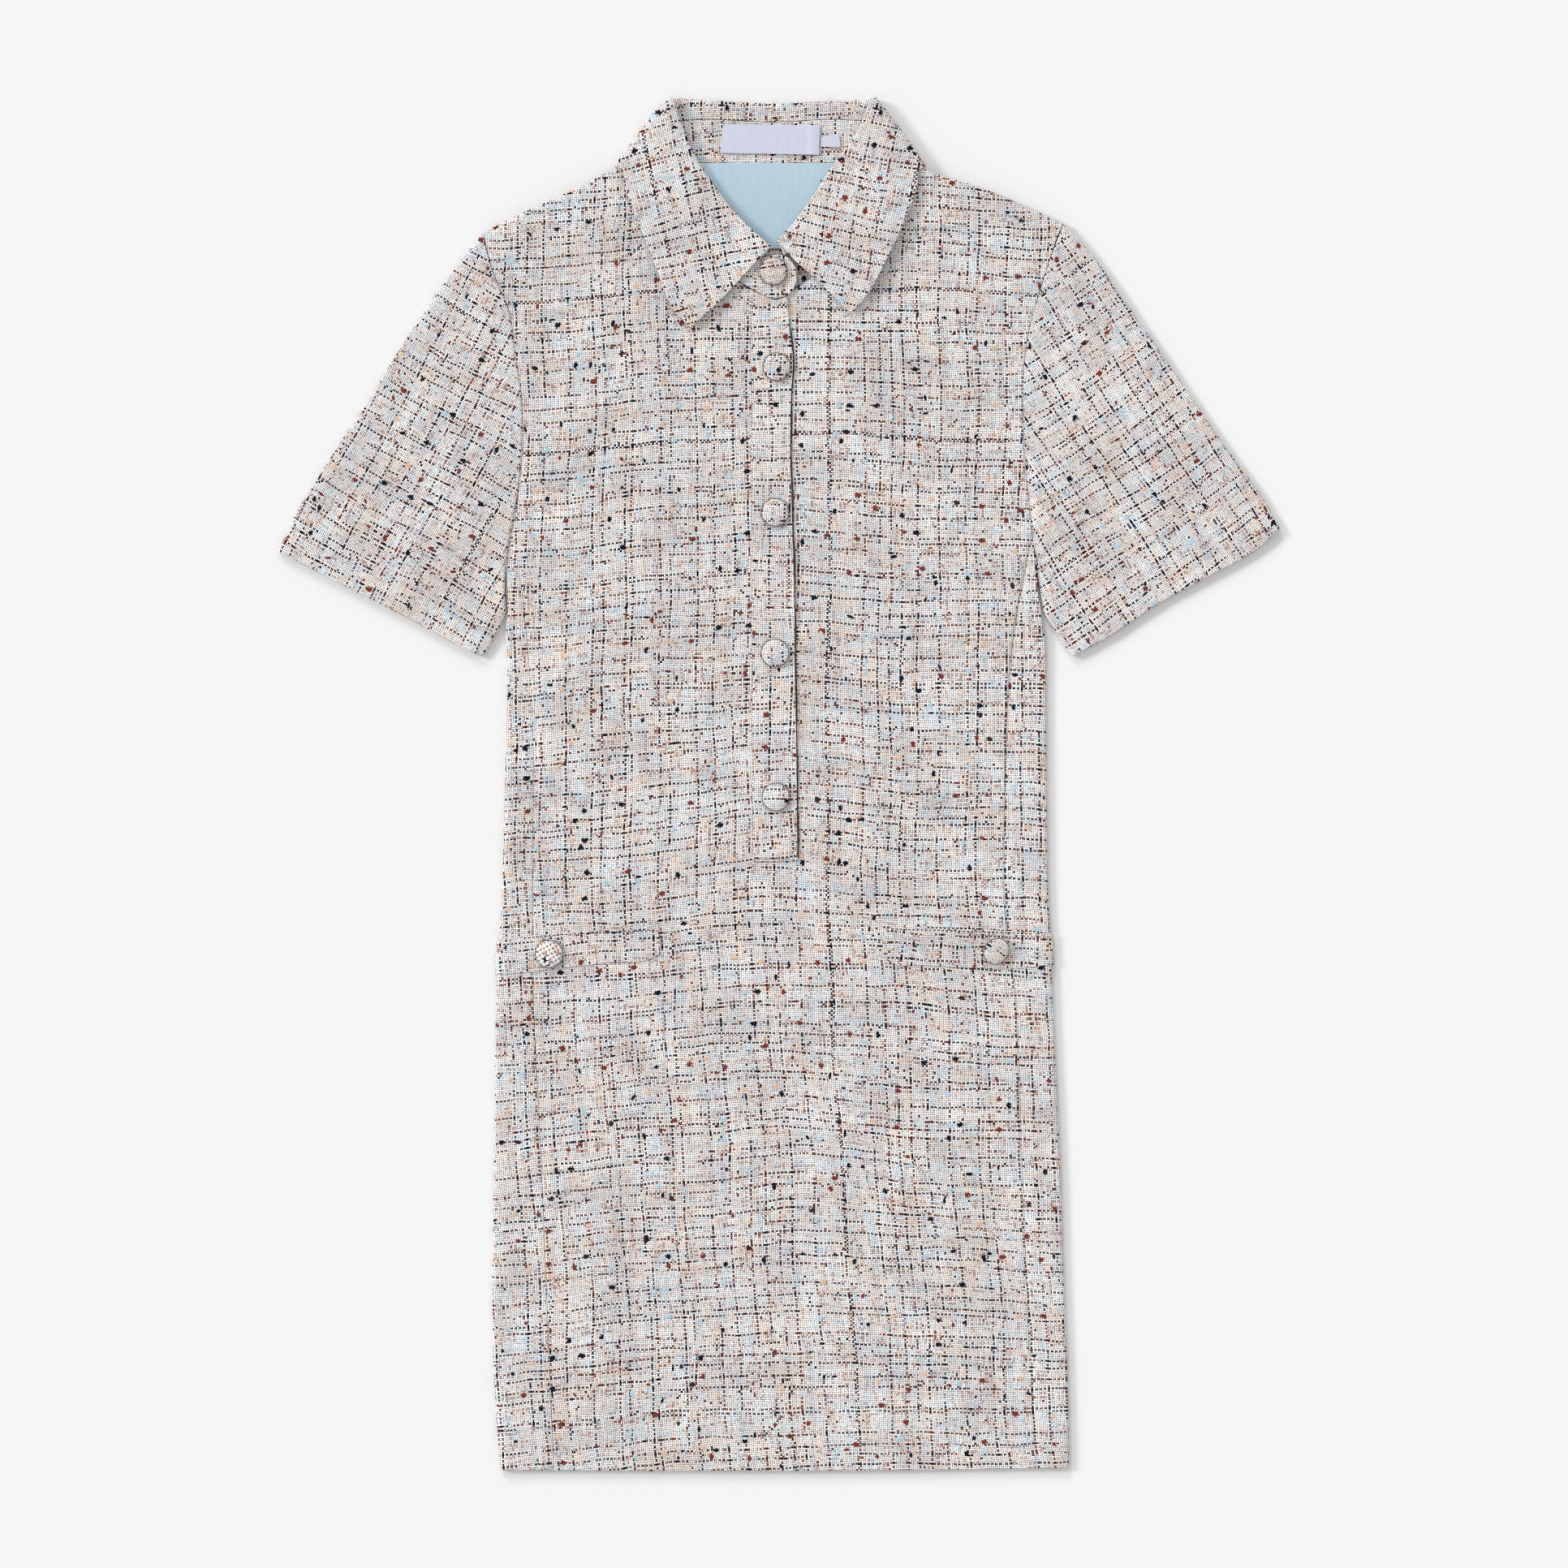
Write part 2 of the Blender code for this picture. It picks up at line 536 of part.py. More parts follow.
def leaf_columns(side):
    """Collar columns on the front, from the front edge to the fold over the shoulder."""
    inset = CLOTH / 2 + COLLAR_STEP / 2
    roll = smooth_line(ROLL_LINE[side], even(NECK_COLUMNS))[::-1]
    inward = left_normals(roll) * SIGN[side]
    roll_start = roll + inward * inset
    seam = smooth_line(COLLAR_SEAM[side], even(NECK_COLUMNS))[::-1]
    neck = smooth_line(NECK_FRONT[side], even(NECK_COLUMNS))[::-1]
    seam = seam_side(seam, neck, -NECK_GAP / 2)
    fold = smooth_line(COLLAR_FOLD[side], even(LEAF_ROWS))
    fold_radius = (COLLAR_STEP + NECK_RISE + LINED_SPACE) / 2
    fold_axis = fold - left_normals(fold) * SIGN[side] * (CLOTH / 2 + fold_radius)
    roll_start[-1] = fold_axis[0]
    outer = smooth_line(LEAF_OUTER[side], even(NECK_COLUMNS))
    outer[-1] = fold_axis[-1]
    front_edge = smooth_line(LEAF_FRONT[side], even(LEAF_ROWS))
    front_edge[0] = roll_start[0]
    plan = filled_patch(roll_start, outer, front_edge, fold_axis)
    along = line_shares(roll_start)[None, :]
    down = even(LEAF_ROWS)[:, None]
    lift = LEAF_LIFT * np.sin(LIFT_DOWN * down) * np.polyval(LIFT_ALONG, along)
    x, y = plan[..., 0], plan[..., 1]
    height = stand_level(side)(x, y) + COLLAR_STEP + lift
    leaf = np.concatenate([plan, height[..., None]], axis=-1)
    columns = []
    for k in range(NECK_COLUMNS + 1):
        band = np.array([roll_start[k], (roll_start[k] + seam[k]) / 2, seam[k]])
        band = leveled(band, stand_level(side))
        columns.append((leaf[::-1, k], band, -inward[k]))
    return columns


def rolled(fall, band, outward):
    """One collar column: fall, roll and inner band, from the outer edge to the stand."""
    start, end = fall[-1], band[0]
    middle, half = (start + end) / 2, (start - end) / 2
    bulge = np.array([*outward, 0.0]) * np.linalg.norm(half)
    turn = []
    for step in range(1, TURN_STEPS):
        angle = math.pi * step / TURN_STEPS
        turn.append(middle + half * math.cos(angle) + bulge * math.sin(angle))
    return [*fall, *turn, *band]


def turned_columns(front, back):
    """Columns of the half turn that takes the collar round the shoulder."""
    front_fall, front_band, front_out = front
    back_fall, back_band, back_out = back
    columns = []
    for step in range(1, TURN_STEPS):
        share = step / TURN_STEPS
        angle = math.pi * share
        parts = []
        for upper, lower in ((front_fall, back_fall), (front_band, back_band)):
            along = np.gradient(upper[:, :2], axis=0)
            side_way = np.stack([-along[:, 1], along[:, 0]], axis=1)
            side_way /= np.linalg.norm(side_way, axis=1)[:, None]
            centre = (upper + lower) / 2
            radius = (upper[:, 2] - lower[:, 2]) / 2
            facing = np.sign(side_way[:, 0] * centre[:, 0])[:, None]
            ring = centre.copy()
            ring[:, :2] += side_way * facing * (radius * math.sin(angle))[:, None]
            ring[:, 2] += radius * math.cos(angle)
            parts.append(ring)
        outward = unit(front_out * (1 - share) + back_out * share)
        columns.append((parts[0], parts[1], outward))
    return columns


def back_columns(first, last):
    """Collar columns under the neck, between the plan lines of the two shoulder folds."""
    shares = even(BACK_NECK_COLUMNS)
    roll = smooth_line(ROLL_BACK, shares)
    neck, seam = neck_rows_back()
    seam = seam_side(seam, neck, -NECK_GAP / 2)
    inset = CLOTH / 2 + NECK_RISE / 2
    roll[:, 1] -= inset
    roll[0], roll[-1] = first[0][-1, :2], last[0][-1, :2]
    lower = np.linspace(first[0][0, :2], last[0][0, :2], BACK_NECK_COLUMNS + 1)
    columns = []
    for k in range(BACK_NECK_COLUMNS + 1):
        if k in (0, BACK_NECK_COLUMNS):
            fall = (first if k == 0 else last)[0][:, :2]
        else:
            fall = lower[k] + (roll[k] - lower[k]) * even(LEAF_ROWS)[:, None]
        fall = leveled(fall, lambda x, y: np.full_like(x, CLOTH / 2))
        band = np.array([roll[k], (roll[k] + seam[k]) / 2, seam[k]])
        if k in (0, BACK_NECK_COLUMNS):
            band = (first if k == 0 else last)[1][:, :2]
        columns.append((fall, leveled(band, back_level), np.array([0.0, 1.0])))
    return columns


def collar_grid():
    left, right = leaf_columns("left"), leaf_columns("right")[::-1]
    back = back_columns(left[-1], right[0])
    columns = [*left, *turned_columns(left[-1], back[0]), *back]
    columns += [*turned_columns(right[0], back[-1])[::-1], *right]
    return np.array([rolled(*column) for column in columns])


def stand_grid():
    """The stand from the buttoned tab round the neck to its hidden right end."""
    rows = even(2)[:, None]

    def column(lower, upper, level):
        lower, upper = np.array(lower), np.array(upper)
        inside = unit(upper - lower) * NECK_GAP / 2
        lower, upper = lower + inside, upper - inside
        return leveled(lower + (upper - lower) * rows, level)

    columns = [column(row[:2], row[2:], stand_level("left")) for row in TAB_ROWS[::-1]]
    neck, seam = neck_rows("left")
    left = [column(neck[k], seam[k], stand_level("left")) for k in range(NECK_COLUMNS, -1, -1)]
    neck, seam = neck_rows_back()
    back = [column(neck[k], seam[k], back_level) for k in range(BACK_NECK_COLUMNS + 1)]
    neck, seam = neck_rows("right")
    shown = range(NECK_COLUMNS + 1 - HIDDEN_COLUMNS)
    right = [column(neck[k], seam[k], stand_level("right")) for k in shown]
    columns += [*left, *stand_turn(left[-1], back[0]), *back]
    columns += [*stand_turn(right[0], back[-1])[::-1], *right]
    return np.array(columns)


def stand_turn(front, back):
    along = unit(front[-1, :2] - front[0, :2])
    outward = np.array([-along[1], along[0]])
    outward *= np.sign(outward[0] * front[0, 0])
    points = [half_turn(upper, lower, outward) for upper, lower in zip(front, back)]
    return [np.array(ring) for ring in zip(*points)]


# ---------------------------------------------------------------- what lies on the panels

def lying_on(panel_level, wall):
    """Height of a thin piece lying on a panel."""
    def level(x, y):
        return panel_level(x, y) + CLOTH / 2 + LAYER_GAP + wall / 2
    return level


def placket_grid():
    left = smooth_line(PLACKET_LEFT, even(PLACKET_ROWS))
    right = smooth_line(PLACKET_FREE, even(PLACKET_ROWS))
    plan = left[:, None] + (right - left)[:, None] * even(3)[None, :, None]
    plan[0, :, 1] = np.interp(plan[0, :, 0], *PLACKET_TOP)
    return leveled(plan, lying_on(front_level, BAND))


def band_grid(side):
    """Pocket band from its rounded inner end to just round the side fold."""
    table = np.array(POCKET_BAND[side])
    shares = even(BAND_COLUMNS)
    top = smooth_line(table[:, (0, 1)], shares)
    bottom = smooth_line(table[:, (0, 2)], shares)
    edge = side_edge(side)[::-1]
    rows = []
    for row in even(BAND_ROWS):
        line = top + (bottom - top) * row
        line[0, 0] -= SIGN[side] * BAND_END_ROUND * 4 * row * (1 - row)
        side_x = np.interp(line[-1, 1], edge[:, 1], edge[:, 0])
        line[-1, 0] = side_x - SIGN[side] * FOLD_INSET
        points = leveled(line, lying_on(front_level, BAND))
        centre = points[-1].copy()
        turn = (front_level(*line[-1]) - back_level(*line[-1])) / 2
        centre[2] = back_level(*line[-1]) + turn
        radius = points[-1][2] - centre[2]
        wrap = []
        for degrees in BAND_WRAP:
            angle = math.radians(degrees)
            offset = np.array([SIGN[side] * math.sin(angle), 0.0, math.cos(angle)])
            wrap.append(centre + radius * offset)
        rows.append([*points, *wrap])
    return np.array(rows)


def lining_grid():
    left = smooth_line(LINING["left"], even(6))
    right = smooth_line(LINING["right"], even(6))
    plan = left[:, None] + (right - left)[:, None] * even(8)[None, :, None]
    return leveled(plan, lying_on(back_level, SILK))


def label_grid(edges, columns):
    low_x, high_x, low_y, high_y = edges
    across, up = np.meshgrid(low_x + (high_x - low_x) * even(columns),
                             low_y + (high_y - low_y) * even(2))
    plan = np.stack([across, up], axis=-1)
    return leveled(plan, lying_on(back_level, SILK))


# ---------------------------------------------------------------- Blender objects

def clear_scene():
    for item in list(bpy.data.objects):
        bpy.data.objects.remove(item, do_unlink=True)


def finish(name, color, roughness, sheen=0.0):
    material = bpy.data.materials.new(name)
    material.use_nodes = True
    shader = material.node_tree.nodes["Principled BSDF"]
    shader.inputs["Base Color"].default_value = color
    shader.inputs["Roughness"].default_value = roughness
    shader.inputs["Metallic"].default_value = 0.0
    shader.inputs["Sheen Weight"].default_value = sheen
    return material


def new_object(name, mesh, material, collection):
    mesh.materials.append(material)
    mesh.shade_smooth()
    item = bpy.data.objects.new(name, mesh)
    collection.objects.link(item)
    return item


def cloth(name, grid, wall, material, collection, tube=False):
    """A sheet through a grid of points, thickened to its wall; a tube's columns close up."""
    rows, columns = grid.shape[:2]
    last = columns if tube else columns - 1
    faces = []
    for row in range(rows - 1):
        for column in range(last):
            after = (column + 1) % columns
            here, below = row * columns, (row + 1) * columns
            faces.append((here + column, here + after, below + after, below + column))
    mesh = bpy.data.meshes.new(name)
    mesh.from_pydata((grid.reshape(-1, 3) * MM).tolist(), [], faces)
    item = new_object(name, mesh, material, collection)
    thickness = item.modifiers.new("wall", "SOLIDIFY")
    thickness.thickness = wall * MM
    thickness.offset = 0.0
    mesh.set_sharp_from_angle(angle=math.radians(50))
    return item


def button(name, x, y, lies_on, tilt, material, collection):
    """Covered button: a turned profile with a rim ring, flat underneath."""
    if lies_on == "tab":
        floor = stand_level("left")(x, y) + CLOTH / 2 + LAYER_GAP
    else:
        floor = lying_on(front_level, BAND)(x, y) + BAND / 2 + LAYER_GAP
    points = [(0.0, 0.0, BUTTON_CROWN)]
    points += [(share * BUTTON_RADIUS, 0.0, height) for share, height in BUTTON_PROFILE]
    points.append((0.0, 0.0, 0.0))
    mesh = bpy.data.meshes.new(name)
    edges = [(k, k + 1) for k in range(len(points) - 1)]
    mesh.from_pydata([[c * MM for c in point] for point in points], edges, [])
    item = new_object(name, mesh, material, collection)
    turned = item.modifiers.new("turned", "SCREW")
    turned.steps = BUTTON_SIDES
    turned.render_steps = BUTTON_SIDES
    turned.use_merge_vertices = True
    turned.merge_threshold = 0.00001
    lean = math.radians(tilt)
    item.location = (x * MM, y * MM, (floor + BUTTON_RADIUS * math.sin(lean)) * MM)
    item.rotation_euler = (lean, 0.0, 0.0)
    return item


def build():
    clear_scene()
    collection = bpy.data.collections.new("shirt_dress")
    bpy.context.scene.collection.children.link(collection)
    tweed = finish("tweed", TWEED_COLOR, 0.92, sheen=0.2)
    silk = finish("lining", LINING_COLOR, 0.55)
    label = finish("label", LABEL_COLOR, 0.6)
    cloth("front", front_grid(), CLOTH, tweed, collection)
    cloth("back", back_grid(), CLOTH, tweed, collection)
    for side in SIGN:
        cloth("side_panel_" + side, side_panel_grid(side), CLOTH, tweed, collection)
        cloth("sleeve_" + side, sleeve_grid(side), CLOTH, tweed, collection, tube=True)
        cloth("pocket_band_" + side, band_grid(side), BAND, tweed, collection)
    cloth("collar", collar_grid(), CLOTH, tweed, collection)
    cloth("collar_stand", stand_grid(), CLOTH, tweed, collection)
    cloth("placket", placket_grid(), BAND, tweed, collection)
    cloth("neck_lining", lining_grid(), SILK, silk, collection)
    cloth("neck_label", label_grid(LABEL, 8), SILK, label, collection)
    cloth("size_tag", label_grid(SIZE_TAG, 2), SILK, label, collection)
    for row in BUTTONS:
        button(*row, tweed, collection)


build()
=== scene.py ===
"""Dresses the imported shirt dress: tweed shells on the solids' forms, buttons, stitches and light.

The tables and sizes are in millimetres; meshes are made in metres.
X runs to the viewer's right, Y towards the collar and Z up from the surface.
"""

import math

import bpy
import numpy as np
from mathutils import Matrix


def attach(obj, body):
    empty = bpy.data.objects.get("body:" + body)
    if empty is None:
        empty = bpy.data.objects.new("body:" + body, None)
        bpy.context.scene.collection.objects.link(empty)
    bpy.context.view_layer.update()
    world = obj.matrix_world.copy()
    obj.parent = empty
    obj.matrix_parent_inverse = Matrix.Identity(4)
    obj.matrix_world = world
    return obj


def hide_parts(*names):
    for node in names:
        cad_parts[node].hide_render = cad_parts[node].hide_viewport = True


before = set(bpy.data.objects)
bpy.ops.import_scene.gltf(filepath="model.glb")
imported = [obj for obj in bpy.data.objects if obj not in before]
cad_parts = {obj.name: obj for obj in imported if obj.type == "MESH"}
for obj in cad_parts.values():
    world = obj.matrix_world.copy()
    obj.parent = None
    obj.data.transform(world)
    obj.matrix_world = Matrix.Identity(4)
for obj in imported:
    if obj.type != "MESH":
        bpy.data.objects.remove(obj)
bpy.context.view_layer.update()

MM = 0.001

CLOTH = 2.2             # tweed with its lining
BAND = 2.0              # pocket bands and placket
SILK = 1.0              # neck lining and labels
SEAM_GAP = 0.15         # between two pieces sewn edge to edge
NECK_GAP = 0.15         # the same at the neck and collar seams
LAYER_GAP = 0.45        # between a piece and what lies on it
LAYER_SPACE = 3.3       # back wall to front wall, middle to middle
FOLD_INSET = CLOTH / 2 + LAYER_SPACE / 2        # outer edge to the middle of a fold's turn
LINED_SPACE = 4.3       # the same where the neck lining lies between them
LINED_FROM = 335.0      # where that begins, and where it is reached
LINED_FULL = 370.0
NECK_RISE = CLOTH + 0.6         # the back lies on the collar behind the neck
RISE_FROM = 398.0
RISE_FULL = 450.0
COLLAR_STEP = CLOTH + 0.55      # front wall to collar leaf, middle to middle
LEAF_LIFT = 5.0                 # how far the leaves arch off the front
LIFT_DOWN = 0.62 * math.pi      # the arch from the rolled edge to the outer edge
LIFT_ALONG = (-2.1, 1.6, 0.5)   # the arch from the front edge to the shoulder, a polynomial
TAB_RISE = CLOTH + LAYER_GAP    # the buttoned tab lies on the other end of the stand
TAB_RISE_FROM = -38.0
TAB_RISE_FULL = -18.0
SHOULDER_ROWS = 4
ARMHOLE_ROWS = 7
SIDE_ROWS = 13
SLEEVE_ROWS = 9
NECK_COLUMNS = 8
BACK_NECK_COLUMNS = 10
LEAF_ROWS = 5
TURN_STEPS = 8          # facets round a half-turn fold
TURN_ANGLES = [math.pi * step / TURN_STEPS for step in range(1, TURN_STEPS)]
EDGE_GAP = 0.4          # half the gap between front and back at the shoulder's turn
CURVE_STEPS = 60        # points of a smooth curve for each point of its table
BLEND_ROWS = 3          # rows over which the side panel's top takes the armhole's bend
SINK_STEPS = 24         # straight parts of a sunk seam's line
HIDDEN_COLUMNS = 2      # columns that the stand's right end lacks, under the tab
SHOULDER = {
    "left": ((-98.9, 462.5), (-119.7, 453.6), (-132.6, 449.4), (-159.6, 435.6),
             (-191.4, 421.2), (-218.4, 406.8)),
    "right": ((87.6, 462.1), (104.8, 452.2), (124.8, 449.2), (161.4, 435.6), (196.2, 421.2),
              (210.5, 414.0)),
}
ARMHOLE_FRONT = {       # shoulder down to the side-panel seam
    "left": ((-218.4, 406.8), (-214.2, 382.2), (-202.8, 363.6), (-196.8, 327.6), (-192.0, 299.4),
             (-189.6, 268.2), (-190.8, 235.2), (-196.6, 195.6)),
    "right": ((210.5, 414.0), (204.0, 399.0), (193.2, 366.0), (183.6, 332.4), (180.3, 299.4),
              (180.0, 263.4), (182.4, 228.0), (186.8, 186.6)),
}
ARMHOLE_BACK = {
    "left": ((-218.4, 406.8), (-214.2, 382.2), (-205.0, 362.0), (-200.0, 328.0), (-196.8, 296.0),
             (-195.5, 262.0), (-196.0, 230.0), (-198.5, 198.0)),
    "right": ((210.5, 414.0), (204.0, 399.0), (195.0, 366.0), (188.4, 334.0), (186.0, 300.0),
              (185.5, 262.0), (186.5, 228.0), (189.0, 192.0)),
}
UNDERARM_FRONT = {      # on down to the underarm point
    "left": ((-196.6, 195.6), (-200.0, 176.0), (-202.6, 156.0), (-202.4, 126.0)),
    "right": ((186.8, 186.6), (190.2, 160.0), (195.0, 128.0)),
}
UNDERARM_BACK = {
    "left": ((-198.5, 198.0), (-201.0, 176.0), (-203.0, 156.0), (-202.4, 126.0)),
    "right": ((189.0, 192.0), (191.6, 162.0), (195.0, 128.0)),
}
SEAM_FRONT = {          # front to side panel
    "left": ((-196.6, 195.6), (-192.0, 159.6), (-186.0, 105.6), (-181.8, 39.6), (-181.8, -56.4),
             (-181.2, -164.4), (-177.0, -248.4), (-172.8, -348.6), (-166.2, -506.8)),
    "right": ((186.8, 186.6), (181.8, 161.4), (175.2, 127.8), (171.0, 95.4), (168.0, 51.6),
              (166.8, 3.6), (167.4, -100.2), (172.8, -140.4), (178.8, -268.2), (184.2, -398.4),
              (190.2, -505.4)),
}
SEAM_BACK = {           # back to side panel
    "left": ((-198.5, 198.0), (-178.0, 130.0), (-158.0, 50.0), (-150.0, -60.0), (-152.0, -250.0),
             (-154.0, -506.8)),
    "right": ((189.0, 192.0), (170.0, 120.0), (152.0, 45.0), (148.0, -60.0), (152.0, -250.0),
              (158.0, -505.4)),
}
SIDE_EDGE = {           # the fold at each side, underarm to hem
    "left": ((-202.4, 126.0), (-201.4, 108.0), (-201.0, 75.6), (-201.6, 36.6), (-203.2, -17.4),
             (-204.6, -71.4), (-206.4, -112.0), (-208.8, -140.4), (-210.0, -218.4),
             (-211.2, -290.4), (-212.1, -380.4), (-209.6, -460.0), (-206.0, -506.8)),
    "right": ((195.0, 128.0), (196.8, 100.0), (197.4, 39.6), (198.0, -20.4), (198.9, -80.4),
              (200.6, -112.0), (202.2, -158.4), (204.0, -200.4), (207.0, -260.4), (210.0, -356.4),
              (213.6, -452.4), (214.4, -505.4)),
}
SLEEVE_TOP = {
    "left": ((-218.4, 406.8), (-234.4, 386.8), (-260.4, 351.6), (-295.2, 297.6), (-329.6, 244.0),
             (-350.4, 211.2), (-363.8, 187.6), (-370.4, 172.0)),
    "right": ((210.5, 414.0), (233.6, 387.0), (259.2, 351.2), (288.0, 310.6), (317.2, 267.4),
              (343.0, 231.2), (361.0, 206.2), (370.4, 189.4)),
}
SLEEVE_UNDER = {
    "left": ((-202.4, 126.0), (-208.4, 111.4), (-214.2, 100.4), (-219.2, 93.8)),
    "right": ((195.0, 128.0), (204.6, 111.0), (216.0, 94.2)),
}
CUFF = {
    "left": ((-370.4, 172.0), (-351.8, 162.2), (-336.0, 154.0), (-310.3, 141.0), (-276.6, 123.8),
             (-250.3, 109.6), (-228.0, 97.6), (-219.2, 93.8)),
    "right": ((370.4, 189.4), (360.0, 179.0), (315.6, 152.4), (280.2, 133.2), (244.2, 109.2),
              (216.0, 94.2)),
}
HEM = ((-166.2, -506.8), (-60.0, -507.2), (60.0, -507.0), (190.2, -505.4))
HEM_BACK = ((-154.0, -506.8), (-60.0, -507.2), (60.0, -507.0), (158.0, -505.4))
NECK = {                # body to stand: shoulder to centre front, and left to right behind
    "left": ((-96.0, 461.5), (-93.0, 438.0), (-72.0, 407.5), (-48.0, 386.5), (-26.0, 368.5),
             (-4.0, 358.0)),
    "right": ((84.6, 461.3), (82.0, 438.0), (61.0, 407.0), (38.0, 386.0), (17.0, 368.5),
              (-4.0, 358.0)),
    "back": ((-96.0, 461.5), (-80.0, 459.6), (-57.6, 458.6), (-6.0, 457.6), (45.0, 458.6),
             (70.0, 459.6), (84.6, 461.3)),
}
COLLAR_SEAM = {         # stand to collar, in the same order
    "left": ((-83.6, 488.6), (-82.0, 476.0), (-72.0, 450.0), (-52.8, 423.0), (-34.4, 402.5),
             (-11.6, 388.8)),
    "right": ((73.4, 488.6), (71.5, 474.0), (58.0, 447.0), (39.5, 421.0), (22.5, 402.0),
              (3.5, 390.0)),
    "back": ((-83.6, 488.6), (-60.0, 490.6), (-6.0, 488.8), (48.0, 490.6), (73.4, 488.6)),
}
ROLL_LINE = {           # the collar's rolled edge in the neck, top to front
    "left": ((-79.0, 501.6), (-73.8, 483.6), (-61.8, 457.2), (-43.8, 430.8), (-26.4, 411.0),
             (-7.8, 394.4)),
    "right": ((68.4, 501.6), (65.1, 490.2), (58.2, 476.4), (43.8, 457.2), (26.4, 430.8),
              (12.0, 411.5), (0.2, 399.0)),
}
ROLL_BACK = ((-79.4, 508.6), (-40.0, 505.0), (0.0, 503.0), (36.0, 505.2), (68.6, 508.8))
LEAF_OUTER = {          # tip to shoulder fold
    "left": ((-65.1, 336.8), (-73.8, 344.4), (-91.5, 382.8), (-114.6, 441.0), (-121.4, 455.0)),
    "right": ((52.6, 347.2), (61.8, 356.4), (79.2, 386.4), (94.8, 420.0), (106.6, 454.6)),
}
LEAF_FRONT = {          # rolled edge to tip
    "left": ((-7.8, 394.4), (-26.4, 374.4), (-43.8, 355.8), (-65.1, 336.8)),
    "right": ((3.4, 396.0), (13.8, 384.0), (26.4, 373.0), (37.2, 362.2), (52.6, 347.2)),
}
COLLAR_FOLD = {         # the collar's own fold over the shoulder, top to bottom
    "left": ((-82.6, 506.6), (-96.0, 493.0), (-109.5, 475.0), (-122.0, 456.0)),
    "right": ((71.8, 506.8), (82.8, 493.2), (96.4, 475.0), (108.8, 456.2)),
}
# Rows of the buttoned tab: lower and upper point
TAB_ROWS = ((2.0, 359.2, -3.2, 390.4), (6.4, 360.6, 3.6, 390.2), (10.4, 364.4, 8.8, 386.4),
            (13.0, 371.0, 12.6, 380.0))
PLACKET_LEFT = ((-20.4, 364.6), (-20.4, 250.0), (-20.0, 100.0), (-19.6, -57.0))
PLACKET_FREE = ((6.0, 359.2), (4.9, 351.6), (9.0, 330.0), (10.2, 308.0), (8.6, 280.0),
                (8.2, 250.8), (10.8, 159.6), (12.0, 69.6), (13.2, -20.4), (13.5, -57.0))
PLACKET_TOP = ((-26.0, -4.0, 5.6), (367.6, 357.2, 359.6))     # x and y along the neck seam
PLACKET_ROWS = 18
POCKET_BAND = {         # x, upper y and lower y, from the inner end to the side fold
    "left": ((-89.4, -109.6, -126.4), (-93.5, -107.0, -128.6), (-126.6, -108.0, -132.2),
             (-162.0, -110.0, -136.2), (-190.0, -112.6, -139.6), (-204.6, -114.6, -140.4)),
    "right": ((78.0, -108.6, -127.6), (82.0, -105.8, -131.2), (111.6, -106.6, -134.1),
              (164.4, -108.3, -136.0), (190.0, -109.8, -135.0), (198.0, -110.2, -133.6)),
}
BAND_COLUMNS = 12
BAND_ROWS = 3
BAND_END_ROUND = 1.6    # how far the inner end bows out
BAND_WRAP = (30.0, 60.0, 90.0, 116.0)     # degrees round the side fold
# Name, x, y, what it lies on and its tilt in degrees
BUTTONS = (
    ("button_stand", -4.2, 378.2, "tab", 0.0),
    ("button_placket_1", -1.8, 307.8, "placket", 0.0),
    ("button_placket_2", -3.0, 200.4, "placket", 0.0),
    ("button_placket_3", -3.0, 96.6, "placket", 0.0),
    ("button_placket_4", -2.4, -9.6, "placket", 0.0),
    ("button_pocket_left", -169.8, -125.4, "placket", 0.0),
    ("button_pocket_right", 160.2, -123.2, "placket", 8.0),
)
BUTTON_RADIUS = 10.5
LINING = {              # left and right edges, from the neck seam down
    "left": ((-86.0, 456.6), (-68.0, 430.0), (-46.0, 404.0), (-30.0, 382.0)),
    "right": ((76.0, 456.6), (58.0, 430.0), (37.0, 404.0), (22.0, 382.0)),
}
# Soft folds: middle x and y, direction in degrees, half length, half width, height
FOLDS = (
    (-110.0, 165.0, 62.0, 120.0, 22.0, 1.1),
    (96.0, 180.0, -60.0, 120.0, 24.0, 1.0),
    (-78.0, -290.0, 87.0, 190.0, 26.0, 1.5),
    (52.0, -250.0, 94.0, 210.0, 30.0, 1.3),
    (128.0, -380.0, 85.0, 120.0, 18.0, 1.1),
    (-138.0, -410.0, 96.0, 90.0, 16.0, 0.9),
    (-266.0, 262.0, 57.0, 95.0, 17.0, 1.2),
    (-236.0, 205.0, 64.0, 70.0, 13.0, 0.9),
    (266.0, 272.0, -54.0, 95.0, 18.0, 1.1),
    (226.0, 205.0, -62.0, 75.0, 13.0, 1.0),
)
SIGN = {"left": -1.0, "right": 1.0}
CORNER_EASE = 0.5       # how far the body keeps off the sleeve's top corner
UNDERARM_EASE = np.array(((0.0, -1.0), (0.5, 0.0), (2.5, -0.5)))


def smooth_line(points, shares):
    """Points at the given shares of the length of a smooth curve through the table's points."""
    knots = np.array(points, dtype=float)
    where = line_lengths(knots)
    slopes = np.gradient(knots, where, axis=0)
    dense = np.linspace(0.0, where[-1], CURVE_STEPS * len(knots))
    index = np.clip(np.searchsorted(where, dense, side="right") - 1, 0, len(knots) - 2)
    span = np.diff(where)[index][:, None]
    t = (dense - where[index])[:, None] / span
    line = cubic(t, knots[index], knots[index + 1], slopes[index] * span, slopes[index + 1] * span)
    return at_shares(line, shares)


